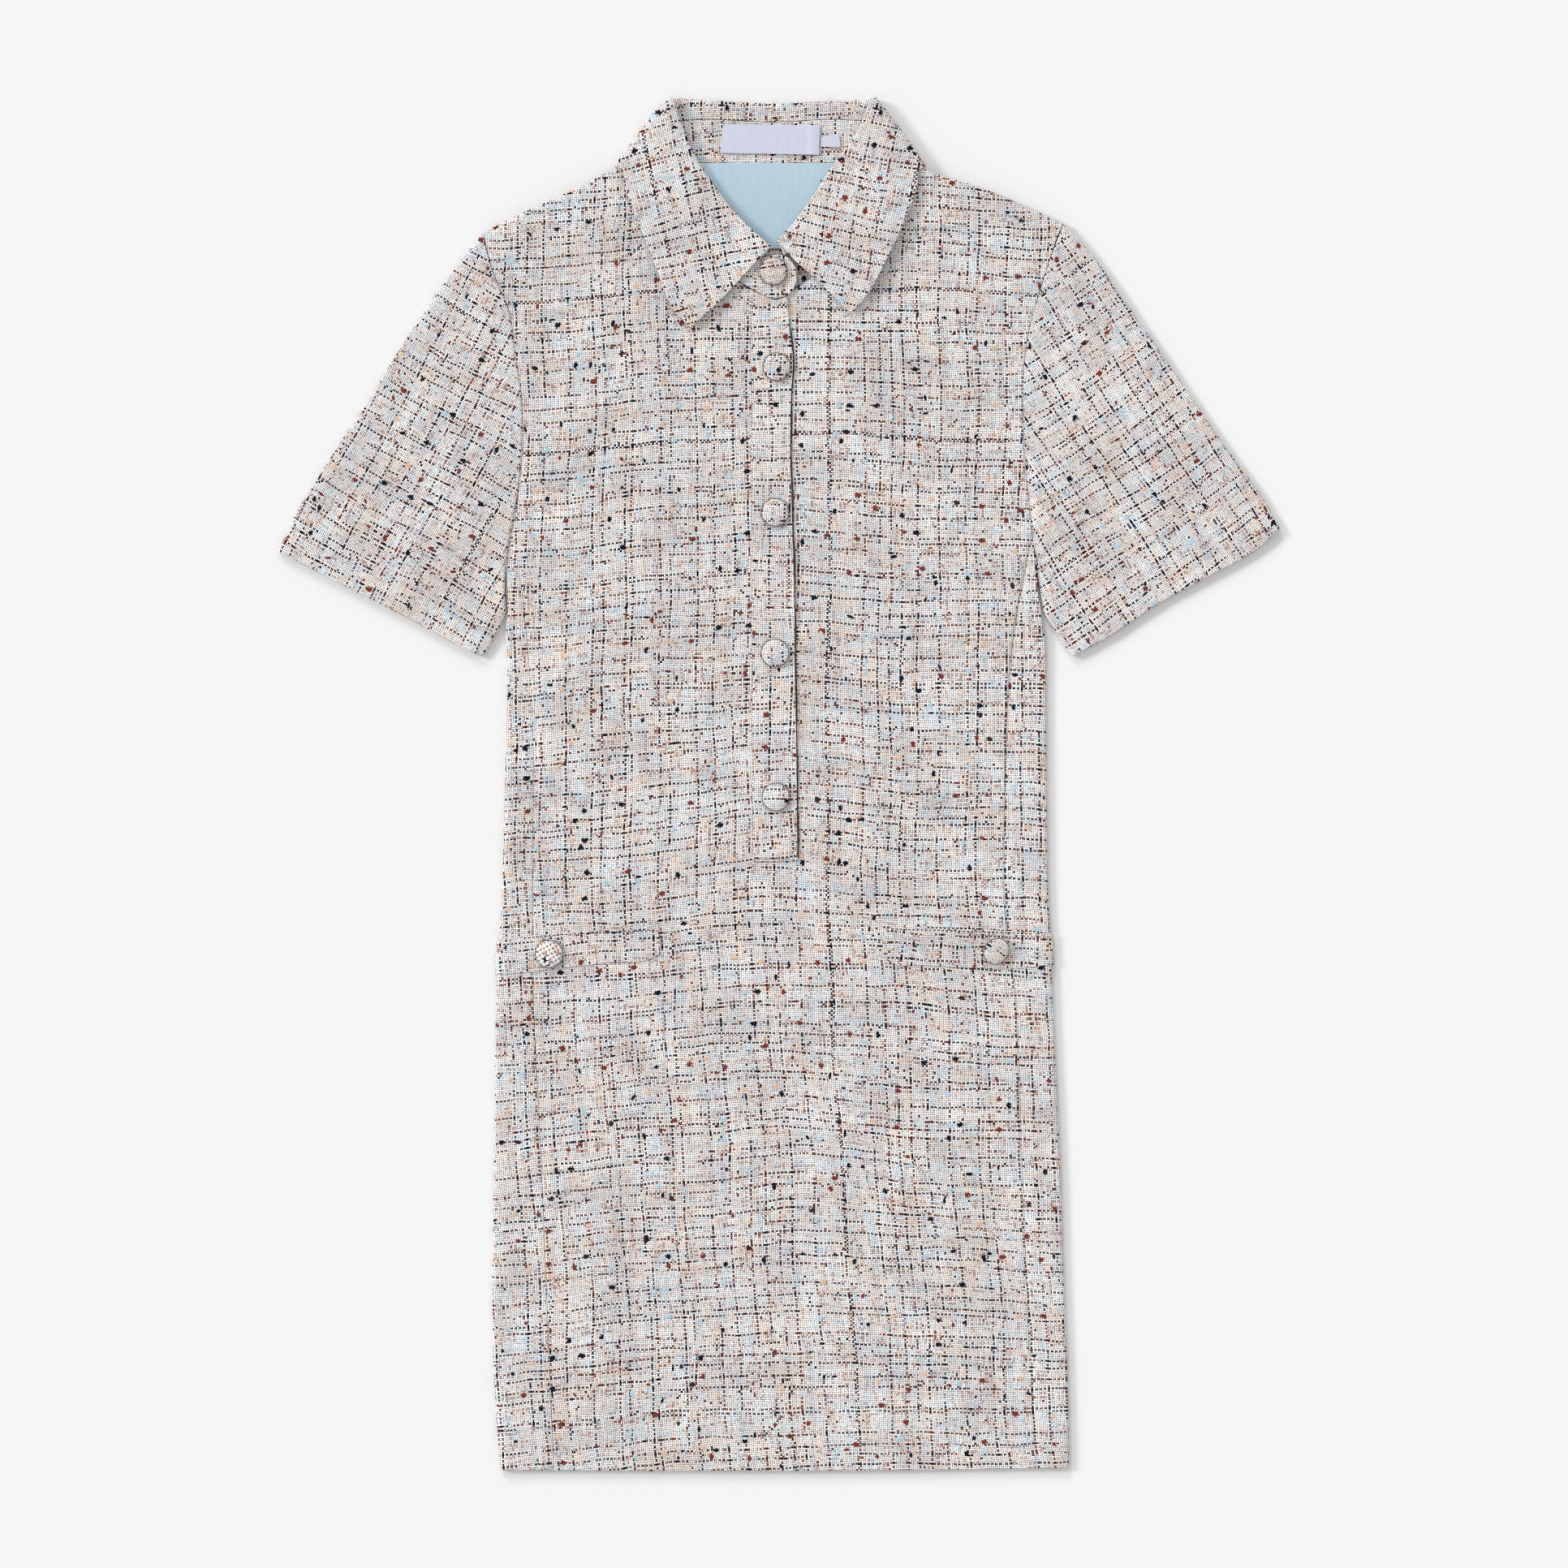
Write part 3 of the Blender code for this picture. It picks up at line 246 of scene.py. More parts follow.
def cubic(t, start, end, start_slope, end_slope):
    """A smooth way from start to end, with the slopes that it has there for the whole way."""
    return ((2 * t ** 3 - 3 * t ** 2 + 1) * start + (t ** 3 - 2 * t ** 2 + t) * start_slope
            + (3 * t ** 2 - 2 * t ** 3) * end + (t ** 3 - t ** 2) * end_slope)


def line_lengths(line):
    """Length of a line up to each of its points."""
    steps = np.linalg.norm(np.diff(np.asarray(line), axis=0), axis=1)
    return np.concatenate([[0.0], np.cumsum(steps)])


def at_shares(line, shares):
    length = line_lengths(line)
    wanted = np.asarray(shares) * length[-1]
    return np.stack([np.interp(wanted, length, column) for column in line.T], axis=1)


def even(count):
    return np.linspace(0.0, 1.0, count + 1)


def line_shares(line):
    length = line_lengths(line)
    return length / length[-1]


def unit(vectors):
    """Vectors along the last axis, made one long."""
    vectors = np.asarray(vectors, dtype=float)
    return vectors / np.maximum(np.linalg.norm(vectors, axis=-1, keepdims=True), 1e-12)


def left_normals(line):
    """Unit normals on the left of each point of a line, looking along it."""
    along = unit(np.gradient(line, axis=0))
    return np.stack([-along[:, 1], along[:, 0]], axis=1)


def three_points(start, end):
    return np.array([start, (start + end) / 2, end])


def between(left, right, count):
    """Points in equal steps from each point of one line to the matching one of another."""
    return left[:, None] + (right - left)[:, None] * even(count)[None, :, None]


def filled_patch(top, bottom, left, right):
    """Plan points between four edge lines, one row for each point of left and right."""
    u = (0.5 * (line_shares(top) + line_shares(bottom)))[None, :, None]
    v = (0.5 * (line_shares(left) + line_shares(right)))[:, None, None]
    grid = (1 - v) * top[None] + v * bottom[None] + (1 - u) * left[:, None] + u * right[:, None]
    grid -= (1 - u) * (1 - v) * top[0] + u * (1 - v) * top[-1]
    grid -= (1 - u) * v * bottom[0] + u * v * bottom[-1]
    return grid


def ease(value):
    t = np.clip(value, 0.0, 1.0)
    return t * t * (3 - 2 * t)


def layer_space(y):
    share = ease((y - LINED_FROM) / (LINED_FULL - LINED_FROM))
    return LAYER_SPACE + (LINED_SPACE - LAYER_SPACE) * share


def back_level(x, y):
    """Middle of the back wall's thickness."""
    return CLOTH / 2 + NECK_RISE * ease((y - RISE_FROM) / (RISE_FULL - RISE_FROM))


def ridges(table, x, y, wave=0.0):
    """Height of the ridges and troughs of a table; a wave makes them wind, with hollow flanks."""
    total = np.zeros_like(x)
    for middle_x, middle_y, turn, half_length, half_width, height in table:
        cosine, sine = math.cos(math.radians(turn)), math.sin(math.radians(turn))
        along = ((x - middle_x) * cosine + (y - middle_y) * sine) / half_length
        across = ((y - middle_y) * cosine - (x - middle_x) * sine) / half_width
        across = across + wave * np.sin(2.1 * along + middle_x)
        reach = height * np.cos(np.clip(along, -1.0, 1.0) * math.pi / 2) ** 2
        total = total + reach * (np.exp(-across ** 2) - wave * np.exp(-(across / 2.2) ** 2))
    return total


def front_level(x, y):
    """Middle of the front wall's thickness."""
    return back_level(x, y) + layer_space(y) + ridges(FOLDS, x, y)


def raised(plan, height):
    """Plan points with their heights."""
    return np.concatenate([plan, height[..., None]], axis=-1)


def leveled(plan, level):
    """Adds a height to each plan point."""
    return raised(plan, level(plan[..., 0], plan[..., 1]))


def armhole(side, layer):
    """Armhole seam points from the shoulder to the side-panel seam, and on to the underarm."""
    upper_points = ARMHOLE_FRONT[side] if layer == "front" else ARMHOLE_BACK[side]
    lower_points = UNDERARM_FRONT[side] if layer == "front" else UNDERARM_BACK[side]
    start = FOLD_INSET / line_lengths(upper_points)[-1]
    shares = np.concatenate([[0.0], start + (1 - start) * even(ARMHOLE_ROWS)])
    upper = smooth_line(upper_points, shares)
    end = 1.0 - FOLD_INSET / line_lengths(lower_points)[-1]
    lower = smooth_line(lower_points, (0.0, end / 2, end, 1.0))
    return upper, lower


def side_seam(side, layer):
    points = SEAM_FRONT[side] if layer == "front" else SEAM_BACK[side]
    return smooth_line(points, even(SIDE_ROWS))


def shoulder_fold(side):
    """The line round which front turns into back, half a wall inside the outline."""
    outline = smooth_line(SHOULDER[side], even(SHOULDER_ROWS))
    outline[-1] += unit(outline[-2] - outline[-1]) * 2 * SEAM_GAP
    return outline - SIGN[side] * left_normals(outline) * CLOTH / 2


def body_edge(side, layer):
    """One long edge of the front or back panel: shoulder, armhole and side seam."""
    upper = armhole(side, layer)[0]
    fold = shoulder_fold(side)
    edge = np.vstack([upper[1:], side_seam(side, layer)[1:]])
    corner_ease = CORNER_EASE * np.exp(-np.arange(len(edge)))
    edge[:, 0] -= SIGN[side] * (SEAM_GAP / 2 + corner_ease)
    return np.vstack([fold, edge])


def neck_rows(part):
    """Matching points of the neck seam and the collar seam: left, right or back."""
    shares = even(BACK_NECK_COLUMNS if part == "back" else NECK_COLUMNS)
    return smooth_line(NECK[part], shares), smooth_line(COLLAR_SEAM[part], shares)


def side_edge(side):
    """The side fold's outline, level with the points of the front seam below the underarm."""
    line = smooth_line(SIDE_EDGE[side], even(CURVE_STEPS * SIDE_ROWS))
    levels = side_seam(side, "front")[:, 1]
    levels[0] = line[0, 1]
    levels[1] = (levels[0] + levels[2]) / 2
    across = np.interp(-levels, -line[:, 1], line[:, 0])
    return np.stack([across, levels], axis=1)


def seam_side(first, second, distance):
    """Moves the points of one line towards the matching points of another."""
    return first + unit(second - first) * distance


def nearest_on_line(plan, line):
    """From a polyline to plan points: how far, which way, and from what share of its length."""
    shares = line_shares(line)
    distance = np.full(plan.shape[:-1], np.inf)
    offset, place = np.zeros_like(plan), np.zeros_like(distance)
    for k, edge in enumerate(np.diff(line, axis=0)):
        share = np.clip(((plan - line[k]) @ edge) / (edge @ edge), 0.0, 1.0)
        off = plan - line[k] - share[..., None] * edge
        away = np.linalg.norm(off, axis=-1)
        closer = away < distance
        distance = np.where(closer, away, distance)
        offset = np.where(closer[..., None], off, offset)
        place = np.where(closer, shares[k] + share * (shares[k + 1] - shares[k]), place)
    return distance, offset, place


def turned_down(plan, layer):
    """Heights of a body panel, rounded towards the other panel along the shoulder folds."""
    x, y = plan[..., 0], plan[..., 1]
    front, back = front_level(x, y), back_level(x, y)
    middle, turn = (front + back) / 2, (front - back) / 2
    depth = np.minimum(*(nearest_on_line(plan, shoulder_fold(side))[0] for side in SIGN))
    rounded = np.sqrt(1 - (1 - np.clip(depth / turn, 0.0, 1.0)) ** 2)
    offset = EDGE_GAP + (turn - EDGE_GAP) * rounded
    return raised(plan, middle + offset if layer == "front" else middle - offset)


def half_turn(front, back, outward):
    """Points of a fold between a front point and the back point under it."""
    middle, turn = (front + back) / 2, (front[2] - back[2]) / 2
    return [middle + turn * np.array([*(outward * math.sin(angle)), math.cos(angle)])
            for angle in TURN_ANGLES]


def side_panel_grid(side):
    """From the front seam round the side fold to the back seam, underarm to hem."""
    shift = np.array([SIGN[side] * SEAM_GAP / 2, 0.0])
    under_front, under_back = armhole(side, "front")[1], armhole(side, "back")[1]
    seam_front, seam_back = side_seam(side, "front") + shift, side_seam(side, "back") + shift
    edge = side_edge(side)
    edge[0, 0] -= SIGN[side] * UNDERARM_EASE[2, 0]
    rows = []
    for index in range(SIDE_ROWS + 1):
        layers = []
        for seam, under in ((seam_front, under_front), (seam_back, under_back)):
            outward = unit(edge[index] - seam[index])
            end = edge[index] - outward * FOLD_INSET
            line = three_points(seam[index], end)
            on_armhole = under[:3] + UNDERARM_EASE * (-SIGN[side], 1.0)
            weight = ease(1.0 - index / BLEND_ROWS)
            if index == 0:
                line = on_armhole
            elif weight > 0:
                bend = on_armhole[1] - (on_armhole[0] + on_armhole[2]) / 2
                line[1] += weight * bend
            layers.append(line)
        turn_centre = layers[0][-1]
        layers[1][-1] = turn_centre
        front = leveled(layers[0], front_level)
        back = leveled(layers[1], back_level)
        outward = unit(edge[index] - turn_centre)
        rows.append([*front, *half_turn(front[-1], back[-1], outward), *back[::-1]])
    return np.array(rows)


def sleeve_grid(side):
    """Rings round the sleeve from armhole to cuff: front, under fold, back, top fold."""
    away = np.array([SIGN[side] * SEAM_GAP / 2, 0.0])
    top = smooth_line(SLEEVE_TOP[side], even(SLEEVE_ROWS)) + away
    under = smooth_line(SLEEVE_UNDER[side], even(SLEEVE_ROWS)) + away
    layers = []
    for layer in ("front", "back"):
        upper, lower = armhole(side, layer)
        seam = np.vstack([upper, lower[1:]]) + away
        cuff = smooth_line(CUFF[side], line_shares(seam))
        layers.append(filled_patch(top, under, seam, cuff).transpose(1, 0, 2))
    rings = []
    for front, back in zip(*layers):
        over, below = unit(front[0] - front[1]), unit(front[-1] - front[-2])
        turn_over, turn_below = front[0] - over * FOLD_INSET, front[-1] - below * FOLD_INSET
        front[1], back[1] = turn_over, turn_over
        front[-2], back[-2] = turn_below, turn_below
        front_points = leveled(front[1:-1], front_level)
        back_points = leveled(back[1:-1], back_level)
        ring = [*front_points, *half_turn(front_points[-1], back_points[-1], below)]
        ring += [*back_points[::-1], *half_turn(front_points[0], back_points[0], over)[::-1]]
        rings.append(ring)
    return np.array(rings)


def stand_level(side):
    """Height of the stand: its left half climbs on to the right half's end."""
    def level(x, y):
        share = ease((x - TAB_RISE_FROM) / (TAB_RISE_FULL - TAB_RISE_FROM))
        return front_level(x, y) + (TAB_RISE * share if side == "left" else 0.0)
    return level


def leaf_columns(side):
    """Collar columns on the front, from the front edge to the fold over the shoulder."""
    roll = smooth_line(ROLL_LINE[side], even(NECK_COLUMNS))[::-1]
    inward = left_normals(roll) * SIGN[side]
    roll_start = roll + inward * (CLOTH + COLLAR_STEP) / 2
    neck, seam = (line[::-1] for line in neck_rows(side))
    seam = seam_side(seam, neck, -NECK_GAP / 2)
    fold = smooth_line(COLLAR_FOLD[side], even(LEAF_ROWS))
    fold_radius = (COLLAR_STEP + NECK_RISE + LINED_SPACE) / 2
    fold_axis = fold - left_normals(fold) * SIGN[side] * (CLOTH / 2 + fold_radius)
    roll_start[-1] = fold_axis[0]
    outer = smooth_line(LEAF_OUTER[side], even(NECK_COLUMNS))
    outer[-1] = fold_axis[-1]
    front_edge = smooth_line(LEAF_FRONT[side], even(LEAF_ROWS))
    front_edge[0] = roll_start[0]
    plan = filled_patch(roll_start, outer, front_edge, fold_axis)
    along = line_shares(roll_start)[None, :]
    down = even(LEAF_ROWS)[:, None]
    lift = LEAF_LIFT * np.sin(LIFT_DOWN * down) * np.polyval(LIFT_ALONG, along)
    level = stand_level(side)
    leaf = raised(plan, level(plan[..., 0], plan[..., 1]) + COLLAR_STEP + lift)
    return [(leaf[::-1, k], leveled(three_points(roll_start[k], seam[k]), level), -inward[k])
            for k in range(NECK_COLUMNS + 1)]


def rolled(fall, band, outward):
    """One collar column: fall, roll and inner band, from the outer edge to the stand."""
    start, end = fall[-1], band[0]
    middle, half = (start + end) / 2, (start - end) / 2
    bulge = np.array([*outward, 0.0]) * np.linalg.norm(half)
    turn = [middle + half * math.cos(angle) + bulge * math.sin(angle) for angle in TURN_ANGLES]
    return [*fall, *turn, *band]


def turned_columns(front, back):
    """Columns of the half turn that takes the collar round the shoulder."""
    columns = []
    for angle in TURN_ANGLES:
        parts = []
        for upper, lower in zip(front[:2], back[:2]):       # fall and band
            side_way = left_normals(upper[:, :2])
            ring = (upper + lower) / 2
            radius = (upper[:, 2] - lower[:, 2]) / 2
            facing = np.sign(side_way[:, 0] * ring[:, 0])[:, None]
            ring[:, :2] += side_way * facing * (radius * math.sin(angle))[:, None]
            ring[:, 2] += radius * math.cos(angle)
            parts.append(ring)
        share = angle / math.pi
        columns.append((*parts, unit(front[2] * (1 - share) + back[2] * share)))
    return columns


def back_columns(first, last):
    """Collar columns under the neck, between the plan lines of the two shoulder folds."""
    roll = smooth_line(ROLL_BACK, even(BACK_NECK_COLUMNS))
    roll[:, 1] -= (CLOTH + NECK_RISE) / 2
    roll[0], roll[-1] = first[0][-1, :2], last[0][-1, :2]
    neck, seam = neck_rows("back")
    seam = seam_side(seam, neck, -NECK_GAP / 2)
    lower = np.linspace(first[0][0, :2], last[0][0, :2], BACK_NECK_COLUMNS + 1)
    falls = [*between(lower, roll, LEAF_ROWS)]
    bands = [three_points(start, end) for start, end in zip(roll, seam)]
    for k, column in ((0, first), (-1, last)):
        falls[k], bands[k] = column[0][:, :2], column[1][:, :2]
    return [(raised(fall, np.full(len(fall), CLOTH / 2)), leveled(band, back_level),
             np.array([0.0, 1.0])) for fall, band in zip(falls, bands)]


def collar_grid():
    left, right = leaf_columns("left"), leaf_columns("right")[::-1]
    back = back_columns(left[-1], right[0])
    columns = [*left, *turned_columns(left[-1], back[0]), *back]
    columns += [*turned_columns(right[0], back[-1])[::-1], *right]
    return np.array([rolled(*column) for column in columns])


def stand_columns(ends, level):
    """Columns of the stand between pairs of points on its two seams."""
    columns = []
    for lower, upper in ends:
        inside = unit(upper - lower) * NECK_GAP / 2
        lower, upper = lower + inside, upper - inside
        columns.append(leveled(lower + (upper - lower) * even(2)[:, None], level))
    return columns


def stand_grid():
    """The stand from the buttoned tab round the neck to its hidden right end."""
    tab = np.array(TAB_ROWS[::-1]).reshape(-1, 2, 2)
    left, right, back = (np.stack(neck_rows(part), axis=1) for part in ("left", "right", "back"))
    left = stand_columns([*tab, *left[::-1]], stand_level("left"))
    right = stand_columns(right[:-HIDDEN_COLUMNS], stand_level("right"))
    back = stand_columns(back, back_level)
    return np.array([*left, *stand_turn(left[-1], back[0]), *back,
                     *stand_turn(right[0], back[-1])[::-1], *right])


def stand_turn(front, back):
    """Columns of the stand's half turn under the shoulder fold."""
    along = unit(front[-1, :2] - front[0, :2])
    outward = np.array([-along[1], along[0]])
    outward *= np.sign(outward[0] * front[0, 0])
    points = [half_turn(upper, lower, outward) for upper, lower in zip(front, back)]
    return [np.array(ring) for ring in zip(*points)]


def lying_on(panel_level, wall):
    """Height of a thin piece lying on a panel."""
    def level(x, y):
        return panel_level(x, y) + CLOTH / 2 + LAYER_GAP + wall / 2
    return level


def band_grid(side):
    """Pocket band from its rounded inner end to just round the side fold."""
    table = np.array(POCKET_BAND[side])
    shares = even(BAND_COLUMNS)
    top = smooth_line(table[:, (0, 1)], shares)
    bottom = smooth_line(table[:, (0, 2)], shares)
    edge = side_edge(side)[::-1]
    rows = []
    for row in even(BAND_ROWS):
        line = top + (bottom - top) * row
        line[0, 0] -= SIGN[side] * BAND_END_ROUND * 4 * row * (1 - row)
        side_x = np.interp(line[-1, 1], edge[:, 1], edge[:, 0])
        line[-1, 0] = side_x - SIGN[side] * FOLD_INSET
        points = leveled(line, lying_on(front_level, BAND))
        centre = points[-1].copy()
        turn = (front_level(*line[-1]) - back_level(*line[-1])) / 2
        centre[2] = back_level(*line[-1]) + turn
        radius = points[-1][2] - centre[2]
        wrap = []
        for degrees in BAND_WRAP:
            angle = math.radians(degrees)
            offset = np.array([SIGN[side] * math.sin(angle), 0.0, math.cos(angle)])
            wrap.append(centre + radius * offset)
        rows.append([*points, *wrap])
    return np.array(rows)


# ---------------------------------------------------------------- finer grids

STEP = 4.5              # longest edge of a cloth facet
WALL = 1.8              # the shown cloth is a little thinner than its solid
THIN = 0.7
RIM = (0.12, 0.4, 0.85, 1.7, 3.2)      # rows that round the edge of a sheet
TURNED = (18.0, 36.0, 54.0, 72.0)      # degrees of the columns in the shoulder's turn

# Soft troughs and ridges: middle x and y, direction in degrees, half length, half width, height
WRINKLES = (
    (-150.0, 330.0, 80.0, 95.0, 13.0, 0.8),
    (-120.0, 250.0, 60.0, 80.0, 16.0, -0.7),
    (-60.0, 250.0, 78.0, 120.0, 14.0, 0.7),
    (-158.0, 190.0, 48.0, 60.0, 12.0, 0.9),
    (-135.0, 120.0, 38.0, 55.0, 11.0, -0.7),
    (58.0, 280.0, 100.0, 90.0, 13.0, 0.7),
    (128.0, 300.0, 104.0, 80.0, 13.0, -0.7),
    (140.0, 200.0, 128.0, 70.0, 12.0, 0.9),
    (110.0, 120.0, 140.0, 60.0, 12.0, -0.7),
    (-100.0, 40.0, 94.0, 90.0, 15.0, 0.7),
    (-40.0, 60.0, 86.0, 110.0, 13.0, -0.6),
    (60.0, 30.0, 96.0, 110.0, 14.0, 0.7),
    (130.0, 20.0, 84.0, 70.0, 13.0, -0.7),
    (-130.0, -210.0, 84.0, 80.0, 16.0, 0.8),
    (-40.0, -180.0, 95.0, 110.0, 15.0, 0.8),
    (-110.0, -350.0, 92.0, 110.0, 14.0, -0.8),
    (-20.0, -380.0, 88.0, 130.0, 16.0, 0.9),
    (20.0, -300.0, 97.0, 110.0, 13.0, -0.7),
    (90.0, -330.0, 88.0, 120.0, 15.0, 0.9),
    (110.0, -210.0, 100.0, 80.0, 14.0, -0.7),
    (165.0, -300.0, 84.0, 110.0, 12.0, -0.7),
    (150.0, -440.0, 70.0, 60.0, 12.0, 0.8),
    (-60.0, -450.0, 80.0, 60.0, 13.0, 0.8),
    (-300.0, 200.0, 62.0, 60.0, 10.0, -0.7),
    (-240.0, 300.0, 50.0, 70.0, 11.0, 0.8),
    (300.0, 220.0, -52.0, 60.0, 11.0, -0.7),
    (238.0, 300.0, -60.0, 70.0, 11.0, 0.8),
    (250.0, 150.0, -40.0, 50.0, 10.0, 0.7),
    (-262.0, 150.0, 40.0, 50.0, 10.0, 0.7),
)
BACK_CREASES = (
    (-90.0, 240.0, 70.0, 110.0, 15.0, 0.6),
    (100.0, 210.0, 112.0, 100.0, 14.0, 0.55),
    (10.0, 80.0, 20.0, 120.0, 13.0, 0.5),
    (-60.0, -120.0, 84.0, 150.0, 18.0, 0.6),
    (80.0, -230.0, 97.0, 140.0, 16.0, 0.55),
    (-110.0, -360.0, 93.0, 120.0, 14.0, 0.5),
    (150.0, -400.0, 80.0, 90.0, 13.0, 0.5),
    (-270.0, 230.0, 56.0, 80.0, 13.0, 0.5),
    (275.0, 240.0, -54.0, 80.0, 13.0, 0.5),
)
CREASE_HEIGHT = 1.35    # height of the creases for one unit of their table
CREASE_WAVE = 0.25      # how much the creases wind
BACK_HIGHEST = 0.6      # the back may rise so far off the floor
STILL_FROM = 345.0      # above this the wrinkles fade: the neck lies smooth
STILL_FULL = 405.0
SLEEVES_FROM = 120.0    # so far from the middle, the sleeves and shoulders fade less
SLEEVE_CALM = 0.6
ON_TOP = 1.5            # what lies higher over the front doesn't sink with its seams

# Seams that sink into the front: depth at the start and end, and width on the left and right
SEAM_SINK = (
    (ARMHOLE_FRONT["left"], 0.2, 1.7, 0.7, 5.0),
    (UNDERARM_FRONT["left"], 1.9, 2.1, 0.7, 5.5),
    (ARMHOLE_FRONT["right"], 0.2, 1.2, 0.7, 4.0),
    (UNDERARM_FRONT["right"], 1.4, 2.0, 0.7, 4.5),
    (SEAM_FRONT["left"], 0.45, 0.3, 1.8, 1.8),
    (SEAM_FRONT["right"], 1.6, 0.6, 0.6, 4.5),
)


def seam_sink(x, y):
    """How far the cloth drops beside the seams of the front."""
    plan = np.stack([x, y], axis=-1)
    total = np.zeros_like(x)
    for table, start_depth, end_depth, left_width, right_width in SEAM_SINK:
        away, offset, place = nearest_on_line(plan, smooth_line(table, even(SINK_STEPS)))
        depth = start_depth + (end_depth - start_depth) * place
        width = np.where(offset[..., 0] < 0.0, left_width, right_width)
        total = np.maximum(total, depth * np.exp(-(away / width) ** 2))
    return total


def crumpled(points):
    """Moves points up or down by the creases of the layer that they belong to."""
    x, y, z = points[..., 0], points[..., 1], points[..., 2]
    low, high = back_level(x, y), front_level(x, y)
    share = np.clip((z - low) / (high - low), 0.0, 1.0)
    calm = 1.0 - ease((y - STILL_FROM) / (STILL_FULL - STILL_FROM))
    calm = np.where(np.abs(x) > SLEEVES_FROM, 1.0 - SLEEVE_CALM * (1.0 - calm), calm)
    lift = CREASE_HEIGHT * calm * share * ridges(WRINKLES, x, y, CREASE_WAVE)
    lift -= share * np.where(z < high + ON_TOP, seam_sink(x, y), 0.0)
    behind = np.clip(ridges(BACK_CREASES, x, y, CREASE_WAVE), 0.0, BACK_HIGHEST)
    lift += calm * (1.0 - share) * behind
    return points + lift[..., None] * (0.0, 0.0, 1.0)


def refined(grid, step=STEP, tube=False):
    """A smooth surface through the grid's points; a tube's columns close up."""
    if tube:
        count = grid.shape[1]
        padded = np.concatenate([grid[:, -2:], grid, grid[:, :3]], axis=1)
        across, starts = refined_rows(padded.transpose(1, 0, 2), step)
        ring = across[starts[2]:starts[2 + count]]
        return refined_rows(ring.transpose(1, 0, 2), step)[0]
    across = refined_rows(grid.transpose(1, 0, 2), step)[0]
    return refined_rows(across.transpose(1, 0, 2), step)[0]


def refined_rows(points, step):
    """Adds rows between those given; also says where each given row went."""
    jumps = np.diff(points, axis=0)
    chords = np.linalg.norm(jumps, axis=-1)
    spans = chords.mean(axis=1)
    where = np.concatenate([[0.0], np.cumsum(spans)])
    slopes = np.gradient(points, where, axis=0)
    ways = jumps / np.maximum(chords, 1e-9)[..., None]
    bend = np.clip((ways[1:] * ways[:-1]).sum(axis=-1), 0.0, 1.0)
    slopes[1:-1] *= bend[..., None]
    rows, starts = [], []
    for k, span in enumerate(spans):
        count = max(1, math.ceil(chords[k].max() / step))
        starts.append(len(rows))
        for part in range(count):
            rows.append(cubic(part / count, points[k], points[k + 1],
                              slopes[k] * span, slopes[k + 1] * span))
    starts.append(len(rows))
    rows.append(points[-1])
    return np.array(rows), starts


def with_rim(grid, axis):
    """Adds the rows that round both ends of a grid along an axis."""
    if axis == 1:
        return with_rim(grid.transpose(1, 0, 2), 0).transpose(1, 0, 2)
    ends = []
    for first, second in ((grid[0], grid[1]), (grid[-1], grid[-2])):
        away = second - first
        length = np.maximum(np.linalg.norm(away, axis=-1), 1e-9)
        rows = []
        for k, depth in enumerate(RIM):
            share = np.minimum(depth / length, 0.8 * (k + 1) / len(RIM))
            rows.append(first + away * share[:, None])
        ends.append(np.array(rows))
    return np.concatenate([grid[:1], ends[0], grid[1:-1], ends[1][::-1], grid[-1:]])


def edge_depth(grid, axis):
    """Distance of each point of a grid from its nearer end along an axis."""
    steps = np.linalg.norm(np.diff(grid, axis=axis), axis=-1)
    zero = np.zeros_like(np.take(steps, [0], axis=axis))
    near = np.concatenate([zero, np.cumsum(steps, axis=axis)], axis=axis)
    return np.minimum(near, np.take(near, [-1], axis=axis) - near)


# ---------------------------------------------------------------- meshes

BOW_LEFT = 0.085        # slope of the weft on the left and the right of the middle
BOW_RIGHT = 0.042
# Share of the slope on the right, by y
BOW_DOWN = ((-505.0, -300.0, -180.0, -60.0), (0.0, 1.3, 1.4, 1.0))
BOW_BEND = 15.0         # half width of the arch's top
LEAN = 0.03             # half the slope of the skirt's warp
LEAN_FROM = -105.0
LEAN_BEND = 40.0
THINNEST = 0.12         # share of a sheet's wall that is left at its rounded edge

tops = {}               # upper side of each sheet, as a grid of points and normals


def add_piece(name, vertices, faces, materials, cloth, kinds=None):
    """An object riding on the dress, with the cloth coordinates of its corners."""
    mesh = bpy.data.meshes.new(name)
    mesh.from_pydata((vertices * MM).tolist(), [], faces)
    for material in materials:
        mesh.materials.append(material)
    if kinds is not None:
        mesh.polygons.foreach_set("material_index", kinds)
    mesh.uv_layers.new(name="cloth").uv.foreach_set("vector", cloth.ravel())
    mesh.shade_smooth()
    item = bpy.data.objects.new(name, mesh)
    bpy.context.scene.collection.objects.link(item)
    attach(item, "root")
    return item


def bow(x, y):
    """How far the weft of the body arches: it rises on the left and falls on the right."""
    left, right = BOW_LEFT, BOW_RIGHT * np.interp(y, *BOW_DOWN)
    return (left - right) / 2 * x - (left + right) / 2 * (np.hypot(x, BOW_BEND) - BOW_BEND)


def lean(y):
    """How far the warp of the skirt has moved across, below the pockets."""
    return LEAN * (y - LEAN_FROM - np.hypot(y - LEAN_FROM, LEAN_BEND))


